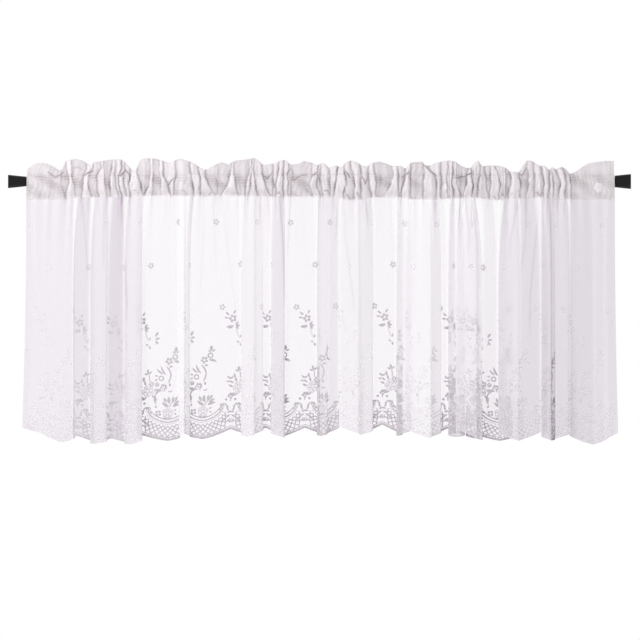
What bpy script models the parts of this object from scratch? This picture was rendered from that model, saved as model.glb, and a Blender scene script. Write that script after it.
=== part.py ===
"""Lace valance gathered on a telescopic tension rod with tapered end caps.

Metres, +Z up, +X along the rod and -Y towards the room. The origin is the middle of
the rod's axis. The cloth is one solid: a ruffle above the rod, a pocket that the rod
runs through, and the hanging lace with its folds and its scalloped hem.
"""

import math
from collections import namedtuple

import bmesh
import bpy

MM = 0.001
GAP = 0.3 * MM
FACETS = 32

# The rod: a thin tube that slides in a thick one, and a cap pressed on each free end.
SPAN = 996.8 * MM
THIN_D = 13.0 * MM
THICK_D = 16.0 * MM
TUBE_WALL = 1.2 * MM
THICK_START_X = -200.0 * MM
THIN_OVERLAP = 120.0 * MM
CAP_SEAT = 16.0 * MM
CAP_CHAMFER = 0.7 * MM
Cap = namedtuple("Cap", "side length inner_d outer_d rod_d")
CAPS = (
    Cap("left", 29.9 * MM, 15.4 * MM, 21.5 * MM, THIN_D),
    Cap("right", 25.9 * MM, 18.8 * MM, 24.0 * MM, THICK_D),
)

# The cloth: its sheet, its cut width and the levels of its two seams.
SHEET = 1.3 * MM
SIDE_STRIP = 33.0 * MM
SCALLOP = 88.0 * MM
COLUMN = 11.0 * MM
PLEAT = 2 * COLUMN
TOP_LEFT_X = -466.4 * MM
TOP_RIGHT_X = 470.4 * MM
LOWER_SEAM_Z = -27.0 * MM
UPPER_SEAM_RISE = 2.2 * MM
TOP_SETTLE = 85.0 * MM
FOLD_SOFTNESS = 7.0 * MM
MOST_PLEAT = 4.0 * MM
EDGE_CLEARANCE = 2.0 * MM
EDGE_REACH = 15.0 * MM

# The hem: where each cusp and each tip of the scallops hangs. x is across, y is the
# fold's depth with minus towards the room, and drop is below the rod's axis, in mm.
HEM_START = (-476.0, -2.0, 394.0)
Scallop = namedtuple("Scallop", "cusp_x cusp_y cusp_drop tip_x tip_y tip_drop")
SCALLOPS = (
    Scallop(-447, 8, 401, -414, -14, 417),
    Scallop(-394, 18, 407, -361, -8, 420),
    Scallop(-336, 22, 411, -308, -10, 421),
    Scallop(-278, 14, 405, -250, -14, 415),
    Scallop(-231, 20, 402, -189, 10, 412),
    Scallop(-148, 4, 396, -119, -20, 408),
    Scallop(-84, 4, 394, -57, -22, 410),
    Scallop(-28, 8, 394, -2, -20, 407),
    Scallop(23, 10, 391, 65, -4, 405),
    Scallop(103, 12, 389, 135, -16, 407),
    Scallop(129, 20, 393, 172, 13, 410),
    Scallop(204, 14, 395, 214, -20, 409),
    Scallop(231, 16, 399, 255, -18, 414),
    Scallop(263, 18, 403, 282, -18, 415),
    Scallop(310, 18, 401, 318, -17, 415),
    Scallop(356, 4, 398, 368, -28, 415),
    Scallop(398, 1, 404, 434, -18, 421),
)
HEM_END = (478.0, -10.0, 402.0)

# The ruffle: its low line and the puffs that stand above it, in mm from the rod's axis.
RUFFLE_LOW = 19.0
Puff = namedtuple("Puff", "x half_width rise")
PUFFS = (
    Puff(-442, 26, 11),
    Puff(-391, 20, 16),
    Puff(-332, 31, 15),
    Puff(-271, 25, 18),
    Puff(-223, 21, 17),
    Puff(-159, 22, 11),
    Puff(-116, 24, 16),
    Puff(-65, 20, 13),
    Puff(-23, 21, 11),
    Puff(17, 19, 7),
    Puff(52, 16, 12),
    Puff(97, 22, 12),
    Puff(132, 11, 6),
    Puff(156, 15, 13),
    Puff(202, 27, 14),
    Puff(255, 15, 13),
    Puff(279, 19, 7),
    Puff(334, 22, 15),
    Puff(379, 15, 6),
    Puff(458, 48, 13),
)

# Rows of the sheet, as shares of the way from the lower seam down to the hem, and of the
# way from the upper seam up to the ruffle's ridge.
BODY_ROWS = (1.0, 0.86, 0.7, 0.54, 0.38, 0.23, 0.1)
RUFFLE_ROWS = (0.0, 0.5, 0.88)

WHITE_LACE = (0.93, 0.925, 0.935, 1.0)
WHITE_PAINT = (0.86, 0.86, 0.85, 1.0)
BLACK_RUBBER = (0.012, 0.011, 0.011, 1.0)


def clear_scene():
    for obj in list(bpy.data.objects):
        bpy.data.objects.remove(obj, do_unlink=True)


def new_collection(name):
    collection = bpy.data.collections.new(name)
    bpy.context.scene.collection.children.link(collection)
    return collection


def material(name, colour, roughness, metallic=0.0):
    made = bpy.data.materials.new(name)
    made.use_nodes = True
    shader = made.node_tree.nodes["Principled BSDF"]
    shader.inputs["Base Color"].default_value = colour
    shader.inputs["Roughness"].default_value = roughness
    shader.inputs["Metallic"].default_value = metallic
    return made


def add_object(name, mesh, collection, finish):
    obj = bpy.data.objects.new(name, mesh)
    mesh.materials.append(finish)
    collection.objects.link(obj)
    return obj


def turned_along_x(name, profile, closed, collection, finish):
    """A turned piece. The profile's points are (along the rod, radius)."""
    mesh = bpy.data.meshes.new(name)
    points = [(radius, 0.0, -along) for along, radius in profile]
    ends = len(points) if closed else len(points) - 1
    edges = [(i, (i + 1) % len(points)) for i in range(ends)]
    mesh.from_pydata(points, edges, [])
    obj = add_object(name, mesh, collection, finish)
    obj.rotation_euler = (0.0, -math.pi / 2, 0.0)
    screw = obj.modifiers.new("turn", "SCREW")
    screw.axis = "Z"
    screw.steps = FACETS
    screw.render_steps = FACETS
    screw.use_merge_vertices = True
    screw.merge_threshold = 0.00001
    screw.use_smooth_shade = True
    return obj


def add_thick_tube(collection, finish):
    outer, inner = THICK_D / 2, THICK_D / 2 - TUBE_WALL
    end = SPAN / 2 - CAPS[1].length + CAP_SEAT - GAP
    profile = [(THICK_START_X, inner), (THICK_START_X, outer), (end, outer), (end, inner)]
    return turned_along_x("rod_thick_tube", profile, True, collection, finish)


def add_thin_tube(collection, finish):
    start = -(SPAN / 2 - CAPS[0].length + CAP_SEAT - GAP)
    end = THICK_START_X + THIN_OVERLAP
    outer, inner = THIN_D / 2, THIN_D / 2 - TUBE_WALL
    profile = [(start, inner), (start, outer), (end, outer), (end, inner)]
    return turned_along_x("rod_thin_tube", profile, True, collection, finish)


def add_cap(cap, collection, finish):
    """A tapered cap, flat and wide where it presses, with a blind bore for the rod."""
    way = -1 if cap.side == "left" else 1
    outside = SPAN / 2
    mouth = outside - cap.length
    seat = mouth + CAP_SEAT
    bore = cap.rod_d / 2 + GAP
    wide, narrow = cap.outer_d / 2, cap.inner_d / 2
    profile = [
        (seat, 0.0),
        (seat, bore),
        (mouth, bore),
        (mouth, narrow),
        (outside - CAP_CHAMFER, wide),
        (outside, wide - CAP_CHAMFER),
        (outside, 0.0),
    ]
    profile = [(way * along, radius) for along, radius in profile]
    if way < 0:
        profile.reverse()
    return turned_along_x(f"cap_{cap.side}", profile, False, collection, finish)


def smooth(share):
    share = min(max(share, 0.0), 1.0)
    return share * share * (3 - 2 * share)


def rod_radius(x):
    """The rod's radius under the cloth, with room where the thick tube's edge stands."""
    step = smooth((x - THICK_START_X + EDGE_REACH) / EDGE_REACH)
    radius = (THIN_D + (THICK_D - THIN_D) * step) / 2
    near = max(0.0, 1 - abs(x - THICK_START_X) / (2 * EDGE_REACH))
    return radius + (EDGE_CLEARANCE - GAP) * smooth(near)


def hem_knots():
    """(place along the cloth, x, y, drop) of the cloth's corners, cusps and tips."""
    knots = [(0.0, *HEM_START)]
    for i, row in enumerate(SCALLOPS):
        cusp = SIDE_STRIP + i * SCALLOP
        knots.append((cusp, row.cusp_x, row.cusp_y, row.cusp_drop))
        knots.append((cusp + SCALLOP / 2, row.tip_x, row.tip_y, row.tip_drop))
    knots.append((SIDE_STRIP + len(SCALLOPS) * SCALLOP, *HEM_END))
    return [(s, x * MM, y * MM, drop * MM) for s, x, y, drop in knots]


def span_at(knots, s):
    for first, second in zip(knots, knots[1:]):
        if s <= second[0] + 1e-9:
            return first, second
    return knots[-2], knots[-1]


def folded_point(knots, s):
    """Where the hem's plan line is: from knot to knot, the spare cloth in one wave."""
    first, second = span_at(knots, s)
    cloth = second[0] - first[0]
    share = min(max((s - first[0]) / cloth, 0.0), 1.0)
    dx, dy = second[1] - first[1], second[2] - first[2]
    chord = math.hypot(dx, dy)
    wave = chord / math.pi * math.sqrt(max(0.0, cloth / chord - 1))
    push = wave * math.sin(2 * math.pi * share) / chord
    return first[1] + dx * share - dy * push, first[2] + dy * share + dx * push


def softened(line, reach):
    """The line with its corners rounded: each point becomes a mean of those around it."""
    span = max(1, round(2 * reach / COLUMN))
    weights = [math.exp(-0.5 * (k * COLUMN / reach) ** 2) for k in range(-span, span + 1)]
    last = len(line) - 1
    out = []
    for i in range(len(line)):
        total = [0.0] * len(line[0])
        for k, weight in zip(range(-span, span + 1), weights):
            near = min(max(i + k, 0), last)
            mirror = 2 * near - (i + k)
            for n in range(len(total)):
                value = line[near][n]
                if mirror != near:
                    value = 2 * value - line[min(max(mirror, 0), last)][n]
                total[n] += weight * value
        out.append([value / sum(weights) for value in total])
    return out


def hem_drop(knots, s):
    """The scallops' rounded edge, as a depth below the rod's axis."""
    first, second = span_at(knots, s)
    share = min(max((s - first[0]) / (second[0] - first[0]), 0.0), 1.0)
    low, high = first[3], second[3]
    if high < low:
        low, high, share = high, low, 1 - share
    return low + (high - low) * math.sin(math.pi / 2 * share)


def ruffle_top(x):
    """The ridge of the ruffle, above the rod's axis."""
    rises = []
    for puff in PUFFS:
        off = abs(x / MM - puff.x) / puff.half_width
        rises.append(puff.rise * max(0.0, 1 - off**2.5))
    return (RUFFLE_LOW + max(rises)) * MM


class Cloth:
    """The valance's middle surface: columns along the cloth, each with its folds."""

    def __init__(self):
        self.knots = hem_knots()
        self.width = self.knots[-1][0]
        self.columns = round(self.width / COLUMN)
        places = [COLUMN * k for k in range(self.columns + 1)]
        self.places = places
        self.hem = softened([folded_point(self.knots, s) for s in places], FOLD_SOFTNESS)
        self.top_x = self.gathered(places)
        self.drop = [hem_drop(self.knots, s) for s in places]
        self.pleat = [self.pleat_at(k) for k in range(self.columns + 1)]

    def gathered(self, places):
        """Where each column sits on the rod: above its place at the hem, evened out."""
        rough = softened([[point[0]] for point in self.hem], TOP_SETTLE)
        start, end = rough[0][0], rough[-1][0]
        scale = (TOP_RIGHT_X - TOP_LEFT_X) / (end - start)
        return [TOP_LEFT_X + (value[0] - start) * scale for value in rough]

    def pleat_at(self, k):
        """The narrow pleats on the rod: out and in by turns, deeper where it is fuller."""
        low, high = max(k - 2, 0), min(k + 2, self.columns)
        spread = (self.top_x[high] - self.top_x[low]) / ((high - low) * COLUMN)
        fullness = 2 * math.sqrt(max(0.0, 1 - spread))
        uneven = 1 + 0.25 * math.sin(1.7 * k) + 0.15 * math.sin(0.41 * k)
        depth = min(PLEAT / (2 * math.pi) * fullness * uneven, MOST_PLEAT)
        return depth if k % 2 else -depth

    def middle(self, k, down):
        """The sheet's middle below the lower seam: pleats fade and folds grow with the drop."""
        fold = 1 - (1 - down) ** 2.2
        pleat = (1 - down) ** 2.5
        lean = down**1.2
        hem_x, hem_y = self.hem[k]
        x = self.top_x[k] + (hem_x - self.top_x[k]) * lean
        y = self.pleat[k] * pleat + hem_y * fold
        z = LOWER_SEAM_Z + (-self.drop[k] - LOWER_SEAM_Z) * down
        return x, y, z

    def across(self, k, down):
        """Half the sheet's thickness, square to its plan line at this height."""
        before = self.middle(max(k - 1, 0), down)
        after = self.middle(min(k + 1, self.columns), down)
        dx, dy = after[0] - before[0], after[1] - before[1]
        length = math.hypot(dx, dy)
        return -dy / length * SHEET / 2, dx / length * SHEET / 2

    def faces_of_sheet(self, k, down):
        x, y, z = self.middle(k, down)
        nx, ny = self.across(k, down)
        return (x - nx, y - ny, z), (x + nx, y + ny, z)

    def pocket(self, k):
        """(inner front, outer front, inner back, outer back) rows round the rod, low to high."""
        x, wave = self.top_x[k], self.pleat[k]
        reach = (rod_radius(x) + GAP) / math.cos(math.pi / 8)
        diagonal = reach * math.sqrt(0.5)
        rows = ((0.94 * reach, -9 * MM, 1.0), (reach, 0.0, 1.0), (diagonal, diagonal, 0.7))
        skins = [[], [], [], []]
        for half, z, share in rows:
            outward = SHEET if z <= 0 else SHEET * math.sqrt(0.5)
            for side, skin in ((-1, 0), (1, 2)):
                room = half + (MOST_PLEAT + side * wave) * share
                skins[skin].append((x, side * room, z))
                skins[skin + 1].append((x, side * (room + outward), z + SHEET - outward))
        return skins

    def ruffle(self, k):
        """(front, back) rows from the upper seam up, then the ridge."""
        x, wave = self.top_x[k], self.pleat[k]
        seam = rod_radius(x) + GAP + UPPER_SEAM_RISE
        top = ruffle_top(x)
        front, back = [], []
        for share in RUFFLE_ROWS:
            z = seam + (top - seam) * share
            y = wave * (0.3 + 0.7 * smooth(2 * share))
            front.append((x, y - SHEET, z))
            back.append((x, y + SHEET, z))
        return front, back, (x, wave, top)

    def section(self, k):
        """One column's outline: outer front and back rows, inner rows, ridge and tunnel ends."""
        sheet = [self.faces_of_sheet(k, down) for down in (*BODY_ROWS, 0.0)]
        inner_front, outer_front, inner_back, outer_back = self.pocket(k)
        ruffle_front, ruffle_back, ridge = self.ruffle(k)
        front = [pair[0] for pair in sheet] + outer_front + ruffle_front
        back = [pair[1] for pair in sheet] + outer_back + ruffle_back
        x, wave = self.top_x[k], self.pleat[k]
        apex = (x, 0.0, (rod_radius(x) + GAP) / math.cos(math.pi / 8))
        foot = (x, wave, LOWER_SEAM_Z + 2 * SHEET)
        return front, back, inner_front, inner_back, ridge, apex, foot


def ring(made, points):
    return [made.verts.new(point) for point in points]


def bridge(made, first, second, slant):
    """Triangles between two columns' rows. Both skins split alike, so they stay apart."""
    for low, high, next_low, next_high in zip(first, first[1:], second, second[1:]):
        if slant:
            made.faces.new((low, high, next_high))
            made.faces.new((low, next_high, next_low))
        else:
            made.faces.new((low, high, next_low))
            made.faces.new((high, next_high, next_low))


def close_end(made, column):
    """The cut end of the cloth: a strip up the sheet, both walls of the pocket, the ruffle."""
    front, back, inner_front, inner_back, ridge, apex, foot = column
    seam = len(BODY_ROWS)
    upper = seam + 1 + len(inner_front)
    for i in list(range(seam)) + list(range(upper, len(front) - 1)):
        made.faces.new((front[i], front[i + 1], back[i + 1], back[i]))
    made.faces.new((front[seam], foot, back[seam]))
    made.faces.new((front[upper], back[upper], apex))
    made.faces.new((front[-1], ridge, back[-1]))
    for outer, inner in ((front, inner_front), (back, inner_back)):
        wall = [foot, *inner, apex]
        for i in range(len(wall) - 1):
            made.faces.new((outer[seam + i], outer[seam + i + 1], wall[i + 1], wall[i]))


def skin_rows(column):
    """A column's points as four rows that run upwards, and the hem's own short row."""
    front, back, inner_front, inner_back, ridge, apex, foot = column
    return (
        [*front, ridge],
        [*back, ridge],
        [foot, *inner_front, apex],
        [foot, *inner_back, apex],
        [front[0], back[0]],
    )


def add_valance(collection, finish):
    cloth = Cloth()
    made = bmesh.new()
    columns = []
    for k in range(cloth.columns + 1):
        parts = cloth.section(k)
        rows = [ring(made, rows) for rows in parts[:4]]
        columns.append(rows + [made.verts.new(point) for point in parts[4:]])
    for k in range(cloth.columns):
        rows = [skin_rows(columns[k]), skin_rows(columns[k + 1])]
        for first, second in zip(*rows):
            bridge(made, first, second, k % 2)
    close_end(made, columns[0])
    close_end(made, columns[-1])
    bmesh.ops.recalc_face_normals(made, faces=made.faces)
    mesh = bpy.data.meshes.new("valance")
    made.to_mesh(mesh)
    made.free()
    mesh.shade_smooth()
    return add_object("valance", mesh, collection, finish)


def main():
    clear_scene()
    collection = new_collection("lace_valance_on_a_rod")
    lace = material("white lace", WHITE_LACE, 0.85)
    paint = material("white painted tube", WHITE_PAINT, 0.4)
    rubber = material("black rubber cap", BLACK_RUBBER, 0.45)
    add_valance(collection, lace)
    add_thin_tube(collection, paint)
    add_thick_tube(collection, paint)
    for cap in CAPS:
        add_cap(cap, collection, rubber)


main()
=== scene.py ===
"""The looks of a sheer lace valance gathered on a telescopic tension rod.

Metres, +Z up, +X along the rod and -Y towards the room. The cloth is drawn flat first:
s is the place along its hem and h the height above the scallops' tips. It is then hung
in its folds, each of which is placed one by one.
"""

import math
from collections import namedtuple
from functools import partial

import bmesh
import bpy
import numpy as np
from bpy.props import FloatProperty, FloatVectorProperty, PointerProperty
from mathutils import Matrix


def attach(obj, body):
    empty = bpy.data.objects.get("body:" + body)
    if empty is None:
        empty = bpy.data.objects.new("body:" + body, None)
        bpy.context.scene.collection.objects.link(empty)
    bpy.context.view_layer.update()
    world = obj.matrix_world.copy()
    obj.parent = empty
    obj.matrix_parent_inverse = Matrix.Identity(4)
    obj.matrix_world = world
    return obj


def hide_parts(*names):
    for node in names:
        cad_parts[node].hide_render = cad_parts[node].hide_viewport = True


bl_info = {
    "name": "Lace Valance",
    "version": (1, 0, 0),
    "blender": (4, 5, 0),
    "location": "View3D > Sidebar > Valance",
    "description": "Dresses the valance's solids in sheer cloth, lace, seams and finishes",
    "category": "Object",
}

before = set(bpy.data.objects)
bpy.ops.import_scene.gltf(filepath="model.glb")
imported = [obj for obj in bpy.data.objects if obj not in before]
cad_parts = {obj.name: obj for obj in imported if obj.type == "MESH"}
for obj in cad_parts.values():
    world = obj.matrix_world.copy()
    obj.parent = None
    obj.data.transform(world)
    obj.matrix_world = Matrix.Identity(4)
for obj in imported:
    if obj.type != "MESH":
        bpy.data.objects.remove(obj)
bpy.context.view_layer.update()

MM = 0.001

# The rod and the cloth's driving sizes, as in the solids.
THIN_D = 13.0 * MM
THICK_D = 16.0 * MM
THICK_START_X = -200.0 * MM
GAP = 0.3 * MM
EDGE_CLEARANCE = 2.0 * MM
EDGE_REACH = 15.0 * MM
SIDE_STRIP = 33.0 * MM
SCALLOP = 88.0 * MM
HALF = SCALLOP / 2
COLUMN = 11.0 * MM
PLEAT = 2 * COLUMN
MOST_PLEAT = 4.0 * MM
TOP_LEFT_X = -466.4 * MM
TOP_RIGHT_X = 470.4 * MM
UPPER_SEAM_RISE = 2.2 * MM

# How the thin sheet hangs: how far its folds are evened out towards the rod and rounded
# at their edges, the share of them that is left at the lower seam, how far in from each
# side the cloth leans out late, and how much deeper the folds stand at the hem.
TOP_SETTLE = 40.0 * MM
FOLD_SOFTNESS = 2.7 * MM
FOLD_HOLD = 0.3
LATE_SIDE = 45.0 * MM
HEM_FLARE = 2.3

# The heading: the share of the pleats that it keeps and how far they are pinched, half
# its depth at the two seams, and the share of the pocket that is below the rod's axis.
PLEAT_SHARE = 0.3
PLEAT_PINCH = 0.32
UPPER_SEAM_DEPTH = 3.2 * MM
LOWER_SEAM_DEPTH = 0.65 * MM
POCKET_LOW = 0.55

# The scalloped hem's drop below the rod's axis, in mm: at the cusp before each tip and
# at the tip.
HEM_START_DROP = 394.0
SCALLOPS = (
    (401, 417), (407, 420), (411, 421), (405, 415), (402, 412), (396, 408), (394, 410),
    (394, 407), (391, 405), (389, 407), (393, 410), (395, 409), (399, 414), (403, 415),
    (401, 415), (398, 415), (404, 421),
)
HEM_END_DROP = 402.0

# The folds pressed into the cloth, in mm: the edge's x, how far the layer behind runs on
# under it (none where the cloth only bends), the side on which the front layer lies and
# the depth of the cloth after it. Then that cloth's painted shade and its painted light,
# which makes it and its lace paler, both from 0 to 1. They are listed from the left.
RIGHT, LEFT = 1, -1
Fold = namedtuple("Fold", "edge overlap front depth shade pale")
FOLDS = [Fold(*row) for row in (
    (-396, 6, RIGHT, -2, 0.38, 0.3), (-369, 10, RIGHT, -6, 0.28, 0.9),
    (-338, 6, LEFT, -1, 0.46, 0.45), (-314, 8, RIGHT, -6, 0.24, 0.9),
    (-282, 12, LEFT, 2, 0.0, 0.1), (-227, 6, RIGHT, -3, 0.0, 1.0),
    (-214, 5, LEFT, 0, 0.26, 0.8), (-206, 3, LEFT, 4, 0.0, 0.0),
    (-127, 6, RIGHT, -5, 0.12, 1.0), (-102, 3, LEFT, -1, 0.16, 0.6),
    (-89, 3, LEFT, 3, 0.0, 0.0), (-79, 4, RIGHT, -4, 0.26, 0.9),
    (-54, 6, LEFT, 2, 0.0, 0.0), (-6, 9, RIGHT, -2, 0.2, 0.3),
    (14, 3, LEFT, 1, 0.28, 0.2), (30, 3, RIGHT, -5, 0.1, 1.0),
    (65, 3, LEFT, -1, 0.2, 1.0), (87, 4, LEFT, 3, 0.0, 0.0),
    (121, 14, RIGHT, 0, 0.1, 0.5), (135, 14, RIGHT, -5, 0.0, 0.9),
    (181, 3, LEFT, -1, 0.2, 0.6), (196, 3, LEFT, 3, 0.0, 0.0),
    (204, 16, RIGHT, 0, 0.12, 0.5), (217, 18, RIGHT, -5, 0.0, 0.75),
    (254, 3, LEFT, -1, 0.0, 0.8), (263, 31, LEFT, 3, 0.16, 0.0),
    (284, 27, RIGHT, -4, 0.18, 0.85), (321, 3, LEFT, -1, 0.3, 0.8),
    (353, 14, RIGHT, -4, 0.24, 0.85), (372, 2, LEFT, 3, 0.42, 0.0),
    (376, 2, RIGHT, -3, 0.27, 0.85), (401, 3, LEFT, 2, 0.31, 0.9),
    (441, 0, LEFT, 0, 0.25, 0.9), (460, 0, LEFT, -3, 0.25, 0.9),
)]

# An overlap up to this hides nothing. A panel's painted shade and painted light are blended near
# its folds.
MOST_OPEN_OVERLAP = 2.0
PANEL_BLEND = 3.0 * MM
INNER_BLEND = 2.0 * MM

# The cloth's ends at the hem, in mm. The strip at the left has spare cloth, and its own painted
# shade and painted light.
HEM_LEFT_X = -476.0
HEM_RIGHT_X = 478.0
LEFT_END_DEPTH = 2.0
RIGHT_END_DEPTH = -4.0
LEFT_END_SLACK = 20.0
LEFT_END_SHADE = 0.25
LEFT_END_LIGHT = 0.9

# The ruffle's top edge: x and z in mm from the rod's axis.
RIDGE = (
    (-467, 20), (-457, 28), (-447, 30), (-437, 29), (-424, 23), (-415, 17), (-411, 22),
    (-406, 33), (-398, 35), (-389, 36), (-380, 34), (-373, 30), (-367, 26), (-361, 31),
    (-348, 33), (-335, 35), (-319, 36), (-313, 33), (-306, 25), (-297, 16), (-292, 22),
    (-287, 34), (-280, 37), (-265, 37), (-252, 34), (-242, 30), (-238, 30), (-231, 34),
    (-223, 37), (-210, 33), (-202, 30), (-196, 26), (-186, 19), (-178, 20), (-169, 26),
    (-156, 31), (-146, 27), (-137, 33), (-127, 34), (-114, 36), (-105, 38), (-98, 34),
    (-89, 26), (-70, 30), (-60, 35), (-54, 34), (-46, 27), (-34, 28), (-25, 33), (-12, 30),
    (-6, 26), (7, 30), (15, 22), (26, 26), (36, 23), (41, 30), (49, 34), (62, 30), (68, 25),
    (76, 24), (84, 30), (94, 32), (103, 30), (116, 25), (129, 25), (138, 21), (145, 30),
    (164, 32), (170, 26), (177, 26), (190, 31), (206, 34), (218, 32), (225, 26), (234, 22),
    (242, 22), (249, 31), (254, 34), (260, 25), (276, 26), (289, 25), (298, 22), (305, 16),
    (319, 15), (326, 26), (332, 34), (340, 33), (350, 26), (361, 25), (367, 19), (372, 23),
    (378, 20), (388, 24), (394, 20), (401, 12), (410, 16), (420, 23), (430, 29), (442, 31),
    (458, 33), (471, 33),
)

# Short tucks in the heading: start, middle and end, in mm, and a depth from 0 to 1, which sets
# its relief and its painted shade.
Tuck = namedtuple("Tuck", "x z middle_x middle_z end_x end_z depth")
TUCKS = [Tuck(*row) for row in (
    (-434, 15, -422, 6, -409, 15, 0.9), (-393, 21, -386, 23, -380, 20, 0.5),
    (-377, 9, -370, 14, -362, 17, 0.9), (-343, 31, -350, 20, -357, 9, 0.6),
    (-318, 9, -310, 18, -303, 9, 1.0), (-297, -14, -293, -15, -290, -20, 0.5),
    (-274, -9, -278, -15, -281, -21, 0.8), (-242, -7, -238, 0, -233, 5, 0.8),
    (-219, -14, -215, -17, -210, -22, 0.5), (-186, -20, -181, -25, -172, -17, 0.8),
    (-141, -20, -138, -19, -133, -17, 0.5), (-89, 9, -83, 5, -76, 13, 0.8),
    (-74, -24, -65, -17, -60, -24, 0.9), (-52, 12, -48, 17, -45, 20, 0.8),
    (-41, 2, -31, 9, -21, 11, 0.7), (-21, -13, -16, -19, -12, -24, 0.7),
    (-9, 10, -4, 15, 2, -3, 0.7), (9, -15, 13, -14, 17, -21, 0.9),
    (41, 17, 45, 13, 49, 7, 0.9), (44, -21, 50, -29, 57, -25, 1.0),
    (60, -18, 64, -23, 68, -28, 0.9), (68, 7, 72, 2, 74, -4, 0.9),
    (79, 12, 77, 4, 74, -4, 0.8), (97, 4, 106, 5, 116, 6, 0.4),
    (134, 7, 138, 11, 143, 14, 0.9), (146, 29, 155, 30, 162, 29, 0.4),
    (170, 25, 178, 16, 187, 9, 1.0), (199, -26, 206, -28, 210, -23, 0.7),
    (218, 6, 232, 8, 244, 14, 0.9), (252, -28, 258, -29, 266, -25, 0.6),
    (279, -24, 284, -31, 289, -23, 0.9), (292, -20, 295, -23, 298, -25, 0.7),
    (318, 14, 324, 9, 332, 22, 0.9), (348, -18, 353, -23, 358, -17, 1.0),
    (384, 22, 389, 20, 393, 15, 0.7),
)]

# The heading's creases: x near the ridge, at the ruffle's foot, on the rod and at the
# lower seam, in mm, then how deep the crease is, which sets its relief and its painted
# shade, and how far the cloth to its right stands out, which sets its painted light,
# both from 0 to 1. The heights are listed from the lower seam up.
CREASE_HEIGHTS = (-21.6, -4.0, 8.8, 21.6)
Crease = namedtuple("Crease", "top ruffle rod seam depth after")
CREASES = [Crease(*row) for row in (
    (-414, -413, -413, -408, 0.7, 0.1), (-406, -401, -402, -406, 0.8, 0.9),
    (-396, -396, -393, -390, 0.5, 0.3), (-372, -378, -378, -381, 0.9, 0.9),
    (-362, -369, -370, -366, 0.6, 0.3), (-350, -356, -356, -353, 0.4, 0.8),
    (-345, -343, -343, -340, 0.5, 0.15), (-332, -336, -335, -335, 1.0, 0.9),
    (-326, -327, -326, -322, 0.6, 0.8), (-316, -321, -322, -316, 0.9, 0.9),
    (-311, -313, -313, -309, 0.6, 0.7), (-302, -303, -305, -303, 1.0, 0.9),
    (-292, -290, -286, -282, 1.0, 0.4), (-271, -271, -273, -280, 0.6, 0.8),
    (-266, -266, -266, -268, 0.5, 0.1), (-257, -255, -254, -254, 0.4, 0.8),
    (-250, -249, -243, -238, 1.0, 0.8), (-230, -229, -233, -233, 0.7, 0.7),
    (-207, -206, -202, -202, 1.0, 0.8), (-194, -191, -190, -191, 0.9, 0.9),
    (-182, -182, -178, -167, 0.9, 0.3), (-162, -163, -163, -164, 0.4, 0.2),
    (-140, -145, -146, -159, 0.9, 0.9), (-137, -135, -134, -130, 0.9, 0.2),
    (-112, -114, -118, -119, 0.8, 0.8), (-108, -110, -110, -114, 0.9, 0.8),
    (-105, -104, -102, -100, 0.8, 0.8), (-92, -90, -87, -79, 1.0, 0.5),
    (-74, -74, -73, -75, 0.6, 0.7), (-65, -68, -70, -70, 0.9, 0.8),
    (-57, -58, -58, -58, 0.9, 0.8), (-49, -51, -50, -50, 0.6, 0.5),
    (-44, -42, -46, -46, 0.5, 0.15), (-12, -12, -16, -12, 0.5, 0.8),
    (-2, -3, -5, 1, 0.9, 0.4), (2, 2, 2, 6, 0.6, 0.7),
    (15, 17, 17, 17, 0.4, 0.8), (30, 27, 26, 22, 1.0, 0.9),
    (39, 42, 43, 38, 1.0, 0.7), (50, 55, 56, 55, 0.8, 0.8),
    (66, 66, 66, 66, 0.8, 0.7), (79, 78, 80, 83, 0.9, 0.9),
    (87, 90, 91, 90, 0.7, 0.1), (116, 118, 114, 104, 0.5, 0.85),
    (126, 126, 127, 127, 0.8, 0.7), (138, 137, 134, 130, 0.9, 0.85),
    (146, 146, 145, 146, 1.0, 0.2), (167, 167, 166, 166, 0.9, 0.85),
    (175, 185, 188, 186, 0.9, 0.8), (194, 195, 195, 194, 0.8, 0.7),
    (206, 204, 204, 206, 0.5, 0.7), (214, 213, 212, 215, 1.0, 0.7),
    (220, 219, 220, 226, 0.5, 0.3), (238, 236, 235, 230, 0.8, 0.9),
    (242, 244, 246, 244, 1.0, 0.9), (258, 256, 254, 252, 0.9, 0.7),
    (264, 266, 267, 270, 0.9, 0.15), (273, 274, 274, 272, 0.9, 0.8),
    (282, 287, 290, 287, 0.9, 0.8), (298, 299, 299, 297, 0.6, 0.4),
    (303, 306, 306, 301, 1.0, 1.0), (318, 320, 322, 321, 1.0, 0.3),
    (332, 334, 335, 330, 0.8, 0.4), (343, 344, 345, 343, 0.6, 0.8),
    (355, 358, 359, 358, 1.0, 0.85), (367, 368, 368, 366, 0.8, 0.8),
    (370, 373, 375, 374, 0.7, 0.7), (378, 382, 386, 382, 1.0, 0.9),
    (390, 394, 395, 393, 0.9, 0.6), (398, 401, 403, 403, 0.9, 0.3),
)]

# The cloth between creases: how far it stands out before the first one, 0 to 1, which
# also sets its painted light, the most as a share of its width and in mm, and the relief of
# the creases and of the puckers. Below the heading, the creases' painted shade and painted
# light fade out in the fall.
LEFT_END_PUFF = 0.3
PUFF_SHARE = 0.5
MOST_PUFF = 4.2 * MM
CREASE_HALF_WIDTH = 1.15 * MM
LINE_RELIEF = 0.8 * MM
PUCKER_RELIEF = 0.25 * MM
CREASE_END_Z = -24.0 * MM
CREASE_FADE = 22.0 * MM

# The lower seam: x along the rod and z, in mm.
LOWER_SEAM = (
    (-466, -28.0), (-408, -27.5), (-392, -25.0), (-300, -24.5), (-285, -22.5), (-120, -22.5),
    (-60, -24.0), (28, -24.0), (40, -28.5), (66, -28.5), (84, -25.0), (128, -25.0),
    (148, -28.5), (210, -27.0), (244, -25.0), (266, -28.0), (292, -29.5), (304, -25.5),
    (330, -27.0), (354, -24.5), (372, -27.0), (470, -28.5),
)
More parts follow.
